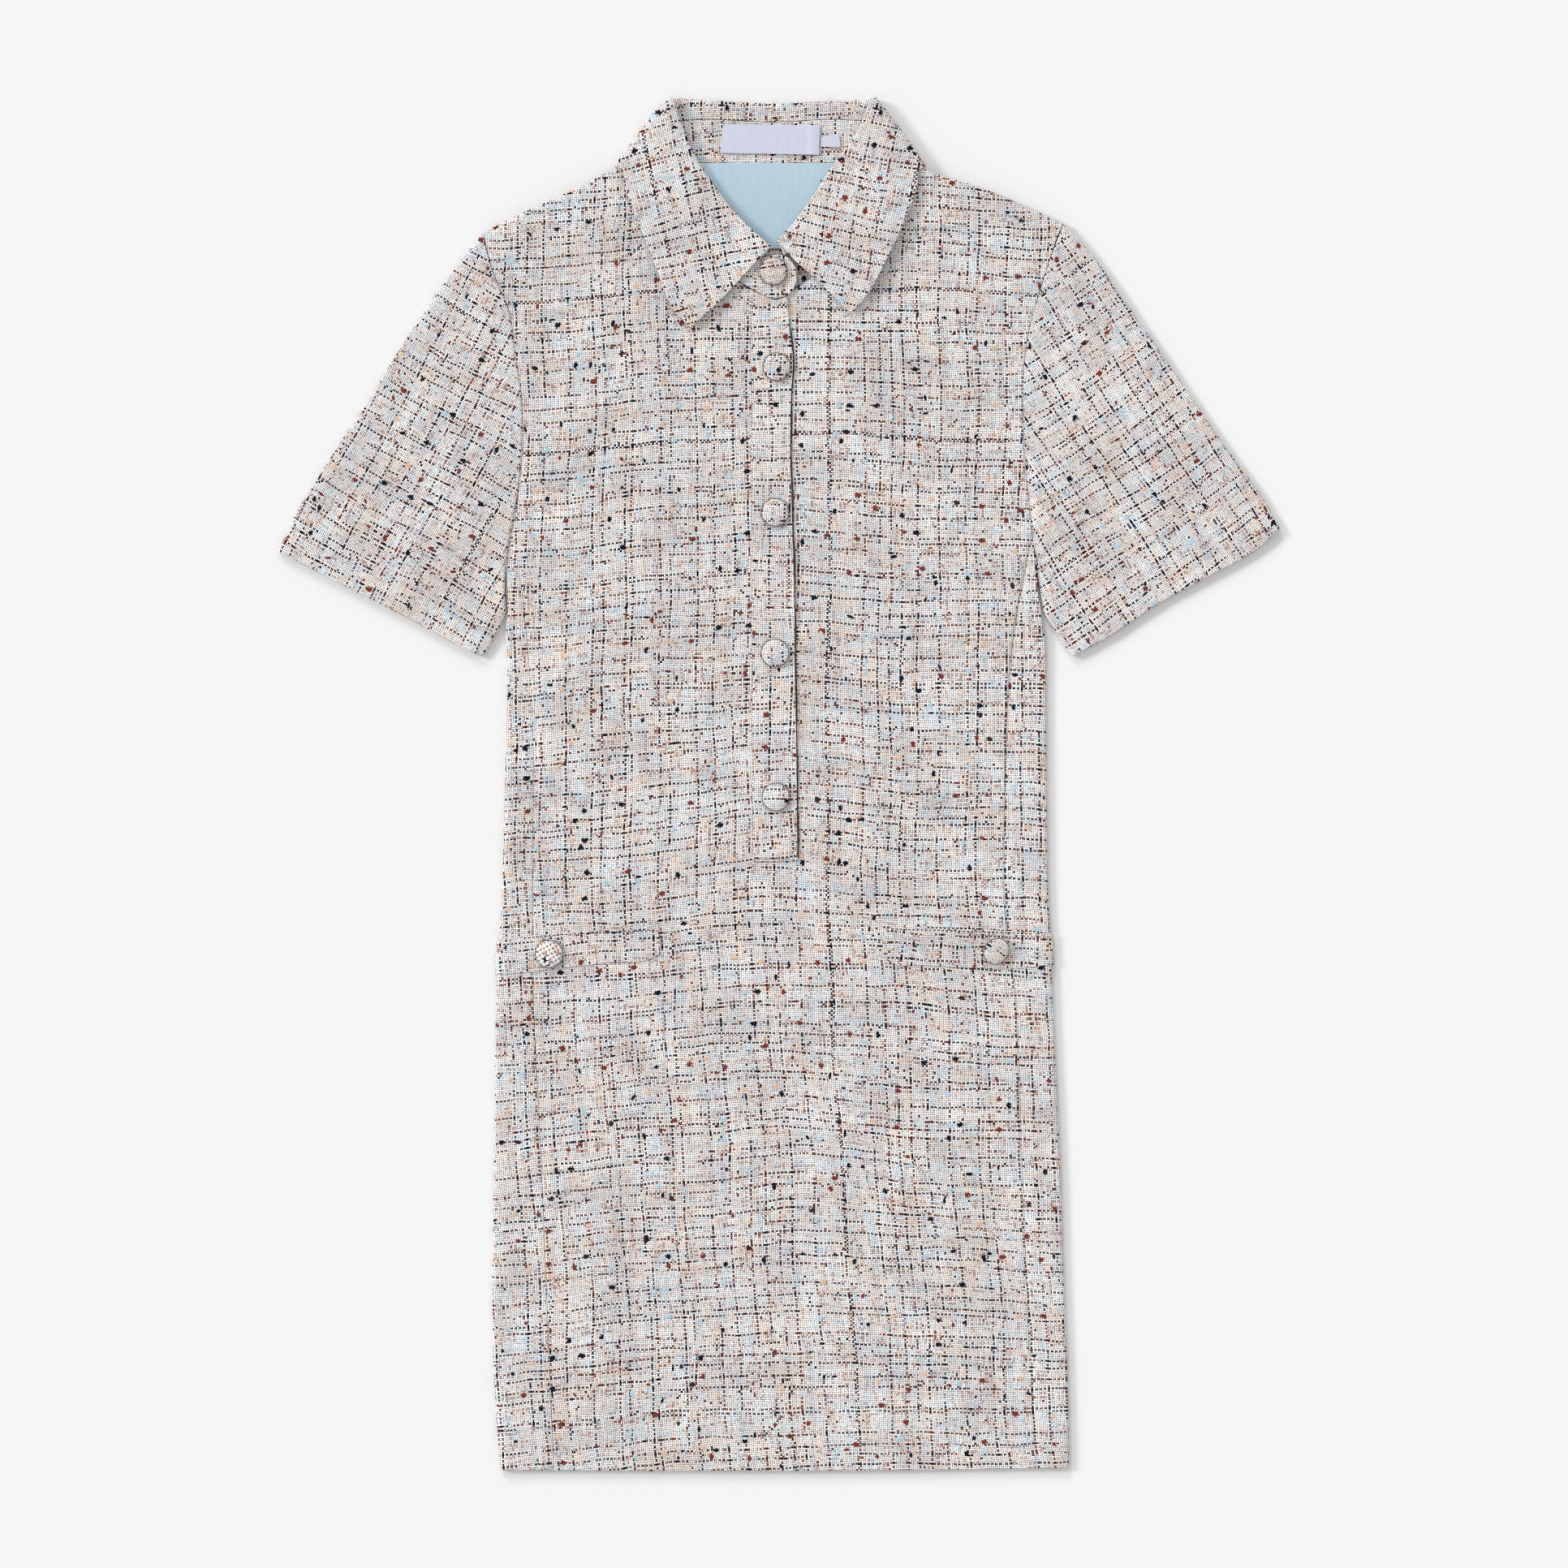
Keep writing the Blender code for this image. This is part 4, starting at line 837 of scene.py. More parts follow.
def cloth_coordinates(vertices, faces, angles, offset):
    """Plan coordinates turned to the grain; on upright faces height takes over."""
    corners = vertices[faces].copy()
    if not np.any(angles):
        moved = lean(corners[..., 1])
        corners[..., 1] -= bow(corners[..., 0], corners[..., 1])
        corners[..., 0] += moved
    normal = unit(np.cross(corners[:, 2] - corners[:, 0], corners[:, -1] - corners[:, 1]))
    turn = np.radians(angles)
    cosine, sine = np.cos(turn)[:, None], np.sin(turn)[:, None]
    x, y, z = corners[..., 0], corners[..., 1], corners[..., 2]
    u, v = x * cosine + y * sine, y * cosine - x * sine
    across = np.abs(normal[:, :1] * cosine + normal[:, 1:2] * sine)
    along = np.abs(normal[:, 1:2] * cosine - normal[:, :1] * sine)
    upright = np.abs(normal[:, 2:]) < 0.5
    u = np.where(upright & (across >= along), z, u)
    v = np.where(upright & (across < along), z, v)
    return np.stack([u + offset[0], v + offset[1]], axis=-1)


def shell(name, grid, wall, material, angle=0.0, tube=False, offset=(0.0, 0.0), crisp=1.0):
    """A closed sheet round a grid of middle points, with rounded edges; sewn sides less so."""
    rows, columns = grid.shape[:2]
    down = np.gradient(grid, axis=0)
    if tube:
        across = np.roll(grid, -1, axis=1) - np.roll(grid, 1, axis=1)
        depth = edge_depth(grid, 0)
    else:
        across = np.gradient(grid, axis=1)
        depth = np.minimum(edge_depth(grid, 0), crisp * edge_depth(grid, 1))
    normal = unit(np.cross(down, across))
    half = wall / 2
    share = np.sqrt(1.0 - (1.0 - np.clip(depth / half, 0.0, 1.0)) ** 2)
    half_wall = (half * np.maximum(share, THINNEST))[..., None]
    upper = grid[..., 2] > grid[..., 2].mean()
    facing = 1.0 if normal[..., 2][upper].sum() > 0 else -1.0
    tops[name] = (grid + facing * normal * half_wall, facing * normal)
    vertices = np.concatenate([(grid + normal * half_wall).reshape(-1, 3),
                               (grid - normal * half_wall).reshape(-1, 3)])
    vertices[:, 2] = np.maximum(vertices[:, 2], 0.0)
    index = np.arange(rows * columns).reshape(rows, columns)
    if tube:
        index = np.concatenate([index, index[:, :1]], axis=1)
    quads = np.stack([index[:-1, :-1], index[1:, :-1], index[1:, 1:], index[:-1, 1:]], axis=-1)
    cells = quads.reshape(-1, 4)
    under = cells[:, ::-1] + rows * columns
    if callable(angle):
        angle = angle(grid[:-1, :-1])
    angles = np.broadcast_to(np.asarray(angle, dtype=float), quads.shape[:2])
    faces, face_angles = [cells, under], [angles.ravel(), angles.ravel()]
    rims = [(index[0], angles[0]), (index[-1][::-1], angles[-1][::-1])]
    if not tube:
        rims += [(index[:, 0][::-1], angles[:, 0][::-1]), (index[:, -1], angles[:, -1])]
    for line, turn in rims:
        low = line + rows * columns
        faces.append(np.stack([line[:-1], line[1:], low[1:], low[:-1]], axis=-1))
        face_angles.append(turn)
    faces = np.concatenate(faces)
    cloth = cloth_coordinates(vertices, faces, np.concatenate(face_angles), offset)
    item = add_piece(name + "_cloth", vertices, faces.tolist(), (material,), cloth)
    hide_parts(name)
    return item


# ---------------------------------------------------------------- cloth pieces

def turned_edges(grid):
    """Adds the columns of the shoulder's turn, at both sides of a panel."""
    turn = LINED_SPACE / 2
    widths = [turn * (1 - math.cos(math.radians(degrees))) for degrees in TURNED]
    widths.append(turn * 1.15)
    first = [seam_side(grid[:, 0], grid[:, 1], width) for width in widths]
    last = [seam_side(grid[:, -1], grid[:, -2], width) for width in widths[::-1]]
    middle = [grid[:, k] for k in range(1, grid.shape[1] - 1)]
    return np.stack([grid[:, 0], *first, *middle, *last, grid[:, -1]], axis=1)


def body_plan(layer):
    left, right = body_edge("left", layer), body_edge("right", layer)
    if layer == "front":
        neck = []
        for side in SIGN:
            seam, collar_seam = neck_rows(side)
            neck.append(seam_side(seam, collar_seam, -NECK_GAP / 2))
        top = np.vstack([left[:1], neck[0][1:], neck[1][-2:0:-1], right[:1]])
    else:
        seam, collar_seam = neck_rows("back")
        neck = seam_side(seam, collar_seam, -NECK_GAP / 2)
        top = np.vstack([left[:1], neck[1:-1], right[:1]])
    bottom = smooth_line(HEM if layer == "front" else HEM_BACK, line_shares(top))
    bottom[0], bottom[-1] = left[-1], right[-1]
    return turned_edges(filled_patch(top, bottom, left, right))


def flat_refined(plan, step=STEP):
    flat = raised(plan, np.zeros(plan.shape[:-1]))
    return with_rim(refined(flat, step), 0)[..., :2]


def body_panel(layer, material):
    plan = flat_refined(body_plan(layer))
    return shell(layer, crumpled(turned_down(plan, layer)), WALL, material, crisp=4.0)


def on_panels(name, grid, material, angle=0.0, wall=WALL, offset=(0.0, 0.0), step=STEP,
              crisp=1.0):
    fine = with_rim(with_rim(refined(grid, step), 0), 1)
    return shell(name, crumpled(fine), wall, material, angle, offset=offset, crisp=crisp)


def panel_of(plan, level, step=STEP):
    fine = with_rim(flat_refined(plan, step), 1)
    return leveled(fine, level)


# ---------------------------------------------------------------- materials

def plain(name, color, roughness, sheen=0.0, metallic=0.0, gloss=0.5):
    material = bpy.data.materials.new(name)
    material.use_nodes = True
    shader = material.node_tree.nodes["Principled BSDF"]
    shader.inputs["Base Color"].default_value = (*color, 1.0)
    shader.inputs["Roughness"].default_value = roughness
    shader.inputs["Metallic"].default_value = metallic
    shader.inputs["Sheen Weight"].default_value = sheen
    shader.inputs["Specular IOR Level"].default_value = gloss
    return material


class Graph:
    """Short names for the shader nodes of one material."""

    def __init__(self, material):
        self.nodes = material.node_tree.nodes
        self.links = material.node_tree.links
        self.shader = self.nodes["Principled BSDF"]

    def put(self, socket, value):
        if isinstance(value, bpy.types.NodeSocket):
            self.links.new(value, socket)
        else:
            socket.default_value = value

    def math(self, operation, *values, clamp=False):
        node = self.nodes.new("ShaderNodeMath")
        node.operation = operation
        node.use_clamp = clamp
        for socket, value in zip(node.inputs, values):
            self.put(socket, value)
        return node.outputs[0]

    def vector(self, x, y, z=0.0):
        node = self.nodes.new("ShaderNodeCombineXYZ")
        for socket, value in zip(node.inputs, (x, y, z)):
            self.put(socket, value)
        return node.outputs[0]

    def split(self, vector):
        node = self.nodes.new("ShaderNodeSeparateXYZ")
        self.put(node.inputs[0], vector)
        return node.outputs

    def noise(self, vector, scale=1.0, detail=0.0, output="Fac"):
        node = self.nodes.new("ShaderNodeTexNoise")
        node.noise_dimensions = "2D"
        self.put(node.inputs["Vector"], vector)
        self.put(node.inputs["Scale"], scale)
        self.put(node.inputs["Detail"], detail)
        return node.outputs[output]

    def white(self, vector, output="Value"):
        node = self.nodes.new("ShaderNodeTexWhiteNoise")
        node.noise_dimensions = "2D"
        self.put(node.inputs["Vector"], vector)
        return node.outputs[output]

    def ramp(self, value, stops, step=False):
        node = self.nodes.new("ShaderNodeValToRGB")
        ramp = node.color_ramp
        ramp.interpolation = "CONSTANT" if step else "LINEAR"
        while len(ramp.elements) < len(stops):
            ramp.elements.new(1.0)
        for element, (place, color) in zip(ramp.elements, stops):
            element.position = place
            element.color = (*color, 1.0)
        self.put(node.inputs[0], value)
        return node.outputs[0]

    def mix(self, share, first, second, blend="MIX"):
        node = self.nodes.new("ShaderNodeMix")
        node.data_type = "RGBA"
        node.blend_type = blend
        self.put(node.inputs[0], share)
        for socket, value in ((node.inputs[6], first), (node.inputs[7], second)):
            if isinstance(value, tuple):
                value = (*value, 1.0)
            self.put(socket, value)
        return node.outputs[2]

    def bump(self, height, distance, strength=1.0):
        node = self.nodes.new("ShaderNodeBump")
        node.inputs["Strength"].default_value = strength
        node.inputs["Distance"].default_value = distance
        self.put(node.inputs["Height"], height)
        self.put(self.shader.inputs["Normal"], node.outputs[0])

    def cloth(self):
        node = self.nodes.new("ShaderNodeUVMap")
        node.uv_map = "cloth"
        return node.outputs[0]


WARP = 1.467            # thread to thread across the cloth
WEFT = 1.52             # and along it
THREAD = 0.345          # half a thread's width, as a share of that
SWELL = 0.30            # it is wider where it lies on top
RUN = 9.0               # threads over which a yarn's colour changes
EVERY = (9.0, 6.0)      # one warp, and one weft, in so many is a fancy yarn
PATCH = 48.0            # size of the patches where the dark runs gather
NAVY = (0.007, 0.010, 0.018)
RUST = (0.185, 0.036, 0.026)
BROWN = (0.045, 0.020, 0.019)
ROSE = (0.50, 0.36, 0.33)
PEACH = (0.83, 0.70, 0.615)
BLUE = (0.645, 0.715, 0.765)
IVORY = (0.80, 0.76, 0.715)
WHITE = (0.88, 0.862, 0.842)
GREIGE = (0.68, 0.64, 0.62)
# painted shade: the dark colour of the holes between the threads
GAP_SHADE = (0.058, 0.051, 0.055)
LUMP_PEACH = (0.70, 0.50, 0.385)
LUMP_BLUE = (0.46, 0.60, 0.68)
PLAIN = ((0.0, BLUE), (0.315, GREIGE), (0.345, WHITE), (0.47, IVORY), (0.52, WHITE),
         (0.63, IVORY), (0.665, PEACH), (0.735, ROSE))
FANCY = ((0.0, NAVY), (0.375, WHITE), (0.525, ROSE), (0.545, RUST), (0.68, BROWN), (0.75, NAVY))
FLECKS = ((0.0, RUST), (0.35, NAVY), (0.65, BROWN), (0.80, ROSE))
SLUBS = ((0.0, NAVY), (0.26, RUST), (0.49, BROWN), (0.53, LUMP_PEACH), (0.79, LUMP_BLUE))
BAND_DARK = (0.955, 0.945, 0.945)      # thinner and fuller yarn, by the length
BAND_PALE = (1.035, 1.04, 1.04)
TINTS = ((0.34, (1.005, 0.986, 0.972)), (0.66, (0.972, 1.002, 1.03)))      # warm, cool patches
SLUB_CELL = 24.0        # one slub in each cell of this size, twice over


def tweed(name, zoom=1.0, every=EVERY):
    """Fancy tweed: plain weave whose yarns change colour along their length, with slubs."""
    material = plain(name, (0.6, 0.55, 0.53), 0.9, sheen=0.02, gloss=0.06)
    g = Graph(material)
    cloth = g.split(g.cloth())
    across, along = (g.math("DIVIDE", cloth[k], zoom) for k in (0, 1))
    flat = g.vector(across, along)
    slow = g.split(g.noise(flat, 1.0 / 110.0, output="Color"))
    quick = g.split(g.noise(flat, 1.0 / 17.0, output="Color"))
    fuzz = g.split(g.noise(flat, 0.75, output="Color"))
    patch = g.split(g.noise(flat, 1.0 / PATCH, output="Color"))
    places, indices, parts = [], [], []
    for k, (start, pitch, sway, ripple) in enumerate(((across, WARP, 7.0, 1.5),
                                                      (along, WEFT, 9.0, 1.9))):
        swayed = g.math("MULTIPLY_ADD", slow[k], sway, start)
        place = g.math("DIVIDE", g.math("MULTIPLY_ADD", quick[k], ripple, swayed), pitch)
        index = g.math("FLOOR", place)
        part = g.math("SUBTRACT", g.math("SUBTRACT", place, index), 0.5)
        places.append(place)
        indices.append(index)
        parts.append(part)

    def surface(k):
        """Height of a thread: it goes over one crossing thread and under the next."""
        other = 1 - k
        phase = g.math("ADD", places[other], indices[k])
        wave = g.math("COSINE", g.math("MULTIPLY", g.math("ADD", phase, k - 0.5), math.pi))
        width = g.math("MULTIPLY", g.math("MULTIPLY_ADD", fuzz[k], 0.2, THREAD - 0.10),
                       g.math("MULTIPLY_ADD", wave, SWELL, 1.0))
        width = g.math("MULTIPLY", width, g.math("MULTIPLY_ADD", fancies[k], -0.22, 1.0))
        share = g.math("DIVIDE", parts[k], width)
        share = g.math("SUBTRACT", 1.0, g.math("MULTIPLY", share, share))
        bulge = g.math("SQRT", g.math("MAXIMUM", share, 0.0))
        level = g.math("MULTIPLY_ADD", wave, 0.5, g.math("MULTIPLY_ADD", bulge, 0.6, 1.0))
        inside = g.math("GREATER_THAN", share, 0.0)
        return g.math("SUBTRACT", g.math("MULTIPLY", level, inside), 1.0)

    def is_fancy(k, seed):
        """One yarn of each group, at a chance place in it."""
        group = g.math("FLOOR", g.math("DIVIDE", indices[k], every[k]))
        chosen = g.math("MULTIPLY", g.white(g.vector(group, seed)), every[k])
        first = g.math("MULTIPLY", group, every[k])
        away = g.math("SUBTRACT", g.math("SUBTRACT", indices[k], first), g.math("FLOOR", chosen))
        return g.math("LESS_THAN", g.math("ABSOLUTE", away), 0.5)

    def yarn(k, seed):
        """Colour of a yarn at a place along it."""
        place = g.vector(g.math("MULTIPLY_ADD", indices[k], 7.31, seed),
                         g.math("DIVIDE", places[1 - k], RUN))
        tone = g.noise(place)
        gathered = g.math("MULTIPLY_ADD", patch[k], 0.9, g.math("SUBTRACT", tone, 0.45))
        return g.mix(fancies[k], g.ramp(tone, PLAIN, step=True),
                     g.ramp(gathered, FANCY, step=True))

    fancies = [is_fancy(0, 3.7), is_fancy(1, 91.3)]
    warp_level, weft_level = surface(0), surface(1)
    over = g.math("GREATER_THAN", warp_level, weft_level)
    height = g.math("MAXIMUM", warp_level, weft_level)
    shown = g.mix(over, yarn(1, 91.3), yarn(0, 3.7))
    cell = g.split(g.white(g.vector(*indices), output="Color"))
    shown = g.mix(g.math("GREATER_THAN", cell[0], 0.987), shown,
                  g.ramp(cell[1], FLECKS, step=True))
    cloud = g.noise(flat, 1.0 / 12.0, detail=1.0)
    ground = g.ramp(cloud, ((0.30, (0.90, 0.842, 0.805)), (0.43, (0.885, 0.868, 0.860)),
                            (0.58, (0.89, 0.89, 0.895)), (0.70, (0.805, 0.855, 0.90))))
    shown = g.mix(1.0, shown, ground, blend="MULTIPLY")
    shown = g.mix(1.0, shown, g.ramp(g.noise(flat, 1.0 / 32.0), TINTS), blend="MULTIPLY")
    for wide, tall in ((70.0, 4.5), (4.5, 70.0), (24.0, 28.0), (52.0, 46.0)):
        band = g.noise(g.vector(g.math("DIVIDE", across, wide), g.math("DIVIDE", along, tall)))
        shown = g.mix(1.0, shown, g.ramp(band, ((0.32, BAND_DARK), (0.66, BAND_PALE))),
                      blend="MULTIPLY")
    # painted shade: the colour darkens towards the holes' dark colour where the threads sink, and
    # is that colour between them
    base = g.mix(g.math("MULTIPLY_ADD", height, 0.8, 0.72, clamp=True), GAP_SHADE, shown)
    lumps = None
    for seed, wide, tall in ((0.0, 3.3, 2.3), (511.0, 2.3, 2.9)):
        cells = g.nodes.new("ShaderNodeTexVoronoi")
        cells.voronoi_dimensions = "2D"
        cells.inputs["Scale"].default_value = 1.0
        ends = []
        for k, start in enumerate((across, along)):
            wobbled = g.math("MULTIPLY_ADD", fuzz[k], 2.2, g.math("ADD", start, seed))
            ends.append(g.math("DIVIDE", wobbled, SLUB_CELL))
        g.put(cells.inputs["Vector"], g.vector(*ends))
        spot = g.split(cells.outputs["Position"])
        pick = g.split(cells.outputs["Color"])
        squares = []
        for k, reach in enumerate((wide, tall)):
            off = g.math("MULTIPLY", g.math("SUBTRACT", ends[k], spot[k]), SLUB_CELL / reach)
            squares.append(g.math("MULTIPLY", off, off))
        far = g.math("SQRT", g.math("ADD", *squares))
        size = g.math("MULTIPLY", g.math("MULTIPLY_ADD", pick[1], 2.6, -0.8, clamp=True), 0.88)
        inside = g.math("SUBTRACT", size, far)
        base = g.mix(g.math("MULTIPLY", inside, 4.0, clamp=True), base,
                     g.ramp(pick[0], SLUBS, step=True))
        swell = g.math("MAXIMUM", inside, 0.0)
        lumps = swell if lumps is None else g.math("ADD", lumps, swell)
    g.put(g.shader.inputs["Base Color"], base)
    relief = g.math("MULTIPLY_ADD", fuzz[2], 0.3, height)
    g.bump(g.math("MULTIPLY_ADD", lumps, 2.0, relief), 0.00025 * zoom)
    return material


def lump_yarn(name, color):
    """Loose spun yarn of one colour, with a painted highlight: a little lighter on the high parts
    of its bump, where its fibres stand up.
    """
    material = plain(name, color, 0.95, sheen=0.02, gloss=0.04)
    g = Graph(material)
    flat = g.cloth()
    strands = g.noise(flat, 2.2, detail=2.0)
    # painted highlight: the high parts of the bump get the lighter colour
    highlight_colour = tuple(min(1.0, 1.5 * c + 0.012) for c in color)
    g.put(g.shader.inputs["Base Color"], g.ramp(strands, ((0.42, color), (0.75, highlight_colour))))
    g.bump(strands, 0.0003)
    return material


def satin(name, color, ribs=0.45):
    """Smooth woven silk with fine ribs and faint shading."""
    material = plain(name, color, 0.5, sheen=0.25)
    g = Graph(material)
    flat = g.split(g.cloth())
    streak = g.noise(g.vector(g.math("MULTIPLY", flat[0], 0.35), g.math("MULTIPLY", flat[1], 0.1)),
                     1.0, detail=1.0)
    g.put(g.shader.inputs["Base Color"],
          g.ramp(streak, ((0.25, tuple(0.97 * c for c in color)),
                          (0.75, tuple(1.02 * c for c in color)))))
    rib = g.math("SINE", g.math("MULTIPLY", flat[1], 2 * math.pi / ribs))
    g.bump(g.math("ADD", rib, g.math("MULTIPLY", streak, 2.0)), 0.00004)
    g.put(g.shader.inputs["Roughness"], g.math("MULTIPLY_ADD", streak, 0.18, 0.42))
    return material


# ---------------------------------------------------------------- buttons

DOME = ((0.0, 3.5), (0.2, 3.46), (0.4, 3.32), (0.57, 3.08), (0.72, 2.75), (0.84, 2.36),
        (0.91, 2.0), (0.946, 1.66))
RING = ((0.949, 1.6), (0.957, 1.86), (0.97, 1.94), (0.984, 1.84), (0.995, 1.56), (1.0, 1.2),
        (0.995, 0.75), (0.95, 0.15), (0.86, 0.0), (0.0, 0.0))
SIDES = 64
SUNK = {"placket": 0.8, "pocket_": 1.3}           # buttons follow the thinner cloth under them
OVAL = {"button_pocket_right": (0.87, -38.0)}     # share of the short axis, and its direction


def button(name, x, y, lies_on, tilt, cover, metal, grain):
    if lies_on == "tab":
        floor = stand_level("left")(x, y) + CLOTH / 2 + LAYER_GAP
    else:
        floor = lying_on(front_level, BAND)(x, y) + BAND / 2 + LAYER_GAP
    turn = np.linspace(0.0, 2 * math.pi, SIDES, endpoint=False)
    profile = DOME + RING
    rings = [np.array([[0.0, 0.0, profile[0][1]]])]
    for share, height in profile[1:-1]:
        radius = share * BUTTON_RADIUS
        rings.append(np.stack([radius * np.cos(turn), radius * np.sin(turn),
                               np.full(SIDES, height)], axis=1))
    rings.append(np.array([[0.0, 0.0, 0.0]]))
    vertices = np.concatenate(rings)
    narrow, direction = OVAL.get(name, (1.0, 0.0))
    way = np.array([math.cos(math.radians(direction)), math.sin(math.radians(direction))])
    vertices[:, :2] -= (1.0 - narrow) * (vertices[:, :2] @ way)[:, None] * way
    lean = math.radians(tilt)
    height = vertices[:, 1] * math.sin(lean) + vertices[:, 2] * math.cos(lean)
    depth = vertices[:, 1] * math.cos(lean) - vertices[:, 2] * math.sin(lean)
    floor -= SUNK.get(name[7:14], 0.0)
    spot = crumpled(np.array([[x, y, floor]]))[0]
    placed = np.stack([vertices[:, 0] + x, depth + y,
                       height + spot[2] + BUTTON_RADIUS * math.sin(lean)], axis=1)
    faces, kinds = [], []
    count = len(rings)
    for k in range(SIDES):
        after = (k + 1) % SIDES
        faces.append((0, 1 + k, 1 + after, 1 + after))
        kinds.append(0)
        for ring in range(1, count - 2):
            low, high = 1 + (ring - 1) * SIDES, 1 + ring * SIDES
            faces.append((low + k, high + k, high + after, low + after))
            kinds.append(0 if ring < len(DOME) - 1 else 1)
        last = 1 + (count - 3) * SIDES
        faces.append((last + k, len(vertices) - 1, len(vertices) - 1, last + after))
        kinds.append(1)
    item = round_mesh(name + "_cover", placed, faces, kinds, (cover, metal), grain, (x, y))
    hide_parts(name)
    return item


def round_mesh(name, vertices, faces, kinds, materials, grain=0.0, middle=(0.0, 0.0)):
    """A piece of round shapes, with faces of several sizes and materials."""
    faces = [tuple(dict.fromkeys(face)) for face in faces]
    corners = np.array([vertices[k] for face in faces for k in face])
    angle = math.radians(grain)
    x, y = corners[:, 0] - middle[0], corners[:, 1] - middle[1]
    u = x * math.cos(angle) + y * math.sin(angle) + 3 * middle[0]
    v = y * math.cos(angle) - x * math.sin(angle) + 3 * middle[1]
    return add_piece(name, vertices, faces, materials, np.stack([u, v], axis=1), kinds)


# ---------------------------------------------------------------- labels, stitches and slubs

LINING_END = 395.5      # the front hides the lining below this
# Corners: top left, top right, bottom right, bottom left
LABEL_CORNERS = ((-41.4, 487.0), (30.2, 486.2), (29.6, 464.4), (-43.6, 465.7))
TAG_CORNERS = ((30.8, 477.4), (44.3, 480.3), (45.3, 470.2), (30.8, 470.4))


LABEL_COLUMNS = 40
LABEL_ROWS = 14


def label_grid(name, corners):
    """A bare woven label: its right end curls over, and its lower edge stands up a little."""
    top_left, top_right, bottom_right, bottom_left = np.array(corners)
    across, down = even(LABEL_COLUMNS)[:, None], even(LABEL_ROWS)[:, None, None]
    top = top_left + (top_right - top_left) * across
    bottom = bottom_left + (bottom_right - bottom_left) * across
    plan = top + (bottom - top) * down
    flat = with_rim(with_rim(raised(plan, np.zeros(plan.shape[:2])), 0), 1)
    x, y = flat[..., 0], flat[..., 1]
    share_x = (x - corners[3][0]) / (corners[1][0] - corners[3][0])
    share_y = (corners[0][1] - y) / (corners[0][1] - corners[3][1])
    height = lying_on(back_level, SILK)(x, y)
    if name == "neck_label":
        height += 0.55 * np.exp(-((share_x - 0.93) / 0.045) ** 2) + 0.35 * ease(share_y)
        height += 0.18 * np.sin(5.2 * share_x + 0.8) * ease(share_y)
    else:
        height += -0.15 + 0.5 * ease(share_x)
    return np.stack([x, y, height], axis=-1)


def on_front(x, y, lift):
    """Points on top of the crumpled front at plan points, plus a lift."""
    points = np.stack([x, y, front_level(x, y)], axis=-1)
    return np.stack([x, y, crumpled(points)[:, 2] + WALL / 2 + lift], axis=1)


# Rings of a stitch: place along it, share of its radius, and height over its middle in radii
STITCH_RINGS = ((0.0, 0.35, -0.8), (0.18, 0.9, 0.0), (0.5, 1.0, 0.35), (0.82, 0.9, 0.0),
                (1.0, 0.35, -0.8))
STITCH_CORNERS = 6


def stitches(name, line, material, pitch=2.9, length=2.2, radius=0.22, zigzag=0.0):
    """A row of raised stitches along a line of points that lie on the cloth."""
    total = line_lengths(line)[-1]
    count = max(1, int(total / pitch))
    middles = (np.arange(count) + 0.5) * pitch
    start, stop = (at_shares(line, np.clip((middles + half) / total, 0.0, 1.0))
                   for half in (-length / 2, length / 2))
    along = unit(stop - start)
    side = unit(np.cross(along, (0.0, 0.0, 1.0)))
    up = np.cross(side, along)
    turns = (np.arange(count) % 2 * 2 - 1)[:, None] * zigzag
    start, stop = start - side * turns, stop + side * turns
    vertices, faces = [], []
    corners = STITCH_CORNERS
    for place, size, rise in STITCH_RINGS:
        centre = start + (stop - start) * place + up * radius * rise
        ring = []
        for corner in range(corners):
            angle = 2 * math.pi * corner / corners
            ring.append(centre + radius * size * (side * math.cos(angle) + up * math.sin(angle)))
        vertices.append(np.stack(ring, axis=1))
    vertices = np.stack(vertices, axis=1)           # stitch, ring, corner
    rings = vertices.shape[1]
    for k in range(count):
        base = k * rings * corners
        for ring in range(rings - 1):
            for corner in range(corners):
                after = (corner + 1) % corners
                low = base + ring * corners
                faces.append((low + corner, low + corners + corner,
                              low + corners + after, low + after))
        last = base + (rings - 1) * corners
        faces.append(tuple(base + corner for corner in range(corners)))
        faces.append(tuple(last + corner for corner in reversed(range(corners))))
    kinds = [0] * len(faces)
    item = round_mesh(name, vertices.reshape(-1, 3), faces, kinds, (material,))
    return item


LUMP_SIDES = 8
LUMP_TILTS = (32.0, 60.0, 88.0, 120.0)     # degrees from the top to each ring of corners
LUMP_KINDS = (0.36, 0.80, 0.90)             # chances that part the four yarns
LUMP_SIZES = (1.0, 0.85, 0.9, 1.1)          # and a size for each
LUMPS_LEVEL = 0.6       # lumps sit where the cloth is this level, and off the floor
LUMPS_ABOVE = 2.5


def lump_shape():
    """Vertices and faces of a small round lump, open underneath where it sits in the cloth."""
    turn = np.linspace(0.0, 2 * math.pi, LUMP_SIDES + 1)[:-1]
    rings = [np.array([[0.0, 0.0, 1.0]])]
    for tilt in np.radians(LUMP_TILTS):
        rings.append(np.stack([math.sin(tilt) * np.cos(turn), math.sin(tilt) * np.sin(turn),
                               np.full(LUMP_SIDES, math.cos(tilt))], axis=1))
    after = [(k + 1) % LUMP_SIDES for k in range(LUMP_SIDES)]
    faces = [(0, 1 + k, 1 + after[k]) for k in range(LUMP_SIDES)]
    for ring in range(len(LUMP_TILTS) - 1):
        low = 1 + LUMP_SIDES * ring
        high = low + LUMP_SIDES
        faces += [(low + k, high + k, high + after[k], low + after[k])
                  for k in range(LUMP_SIDES)]
    return np.concatenate(rings), faces


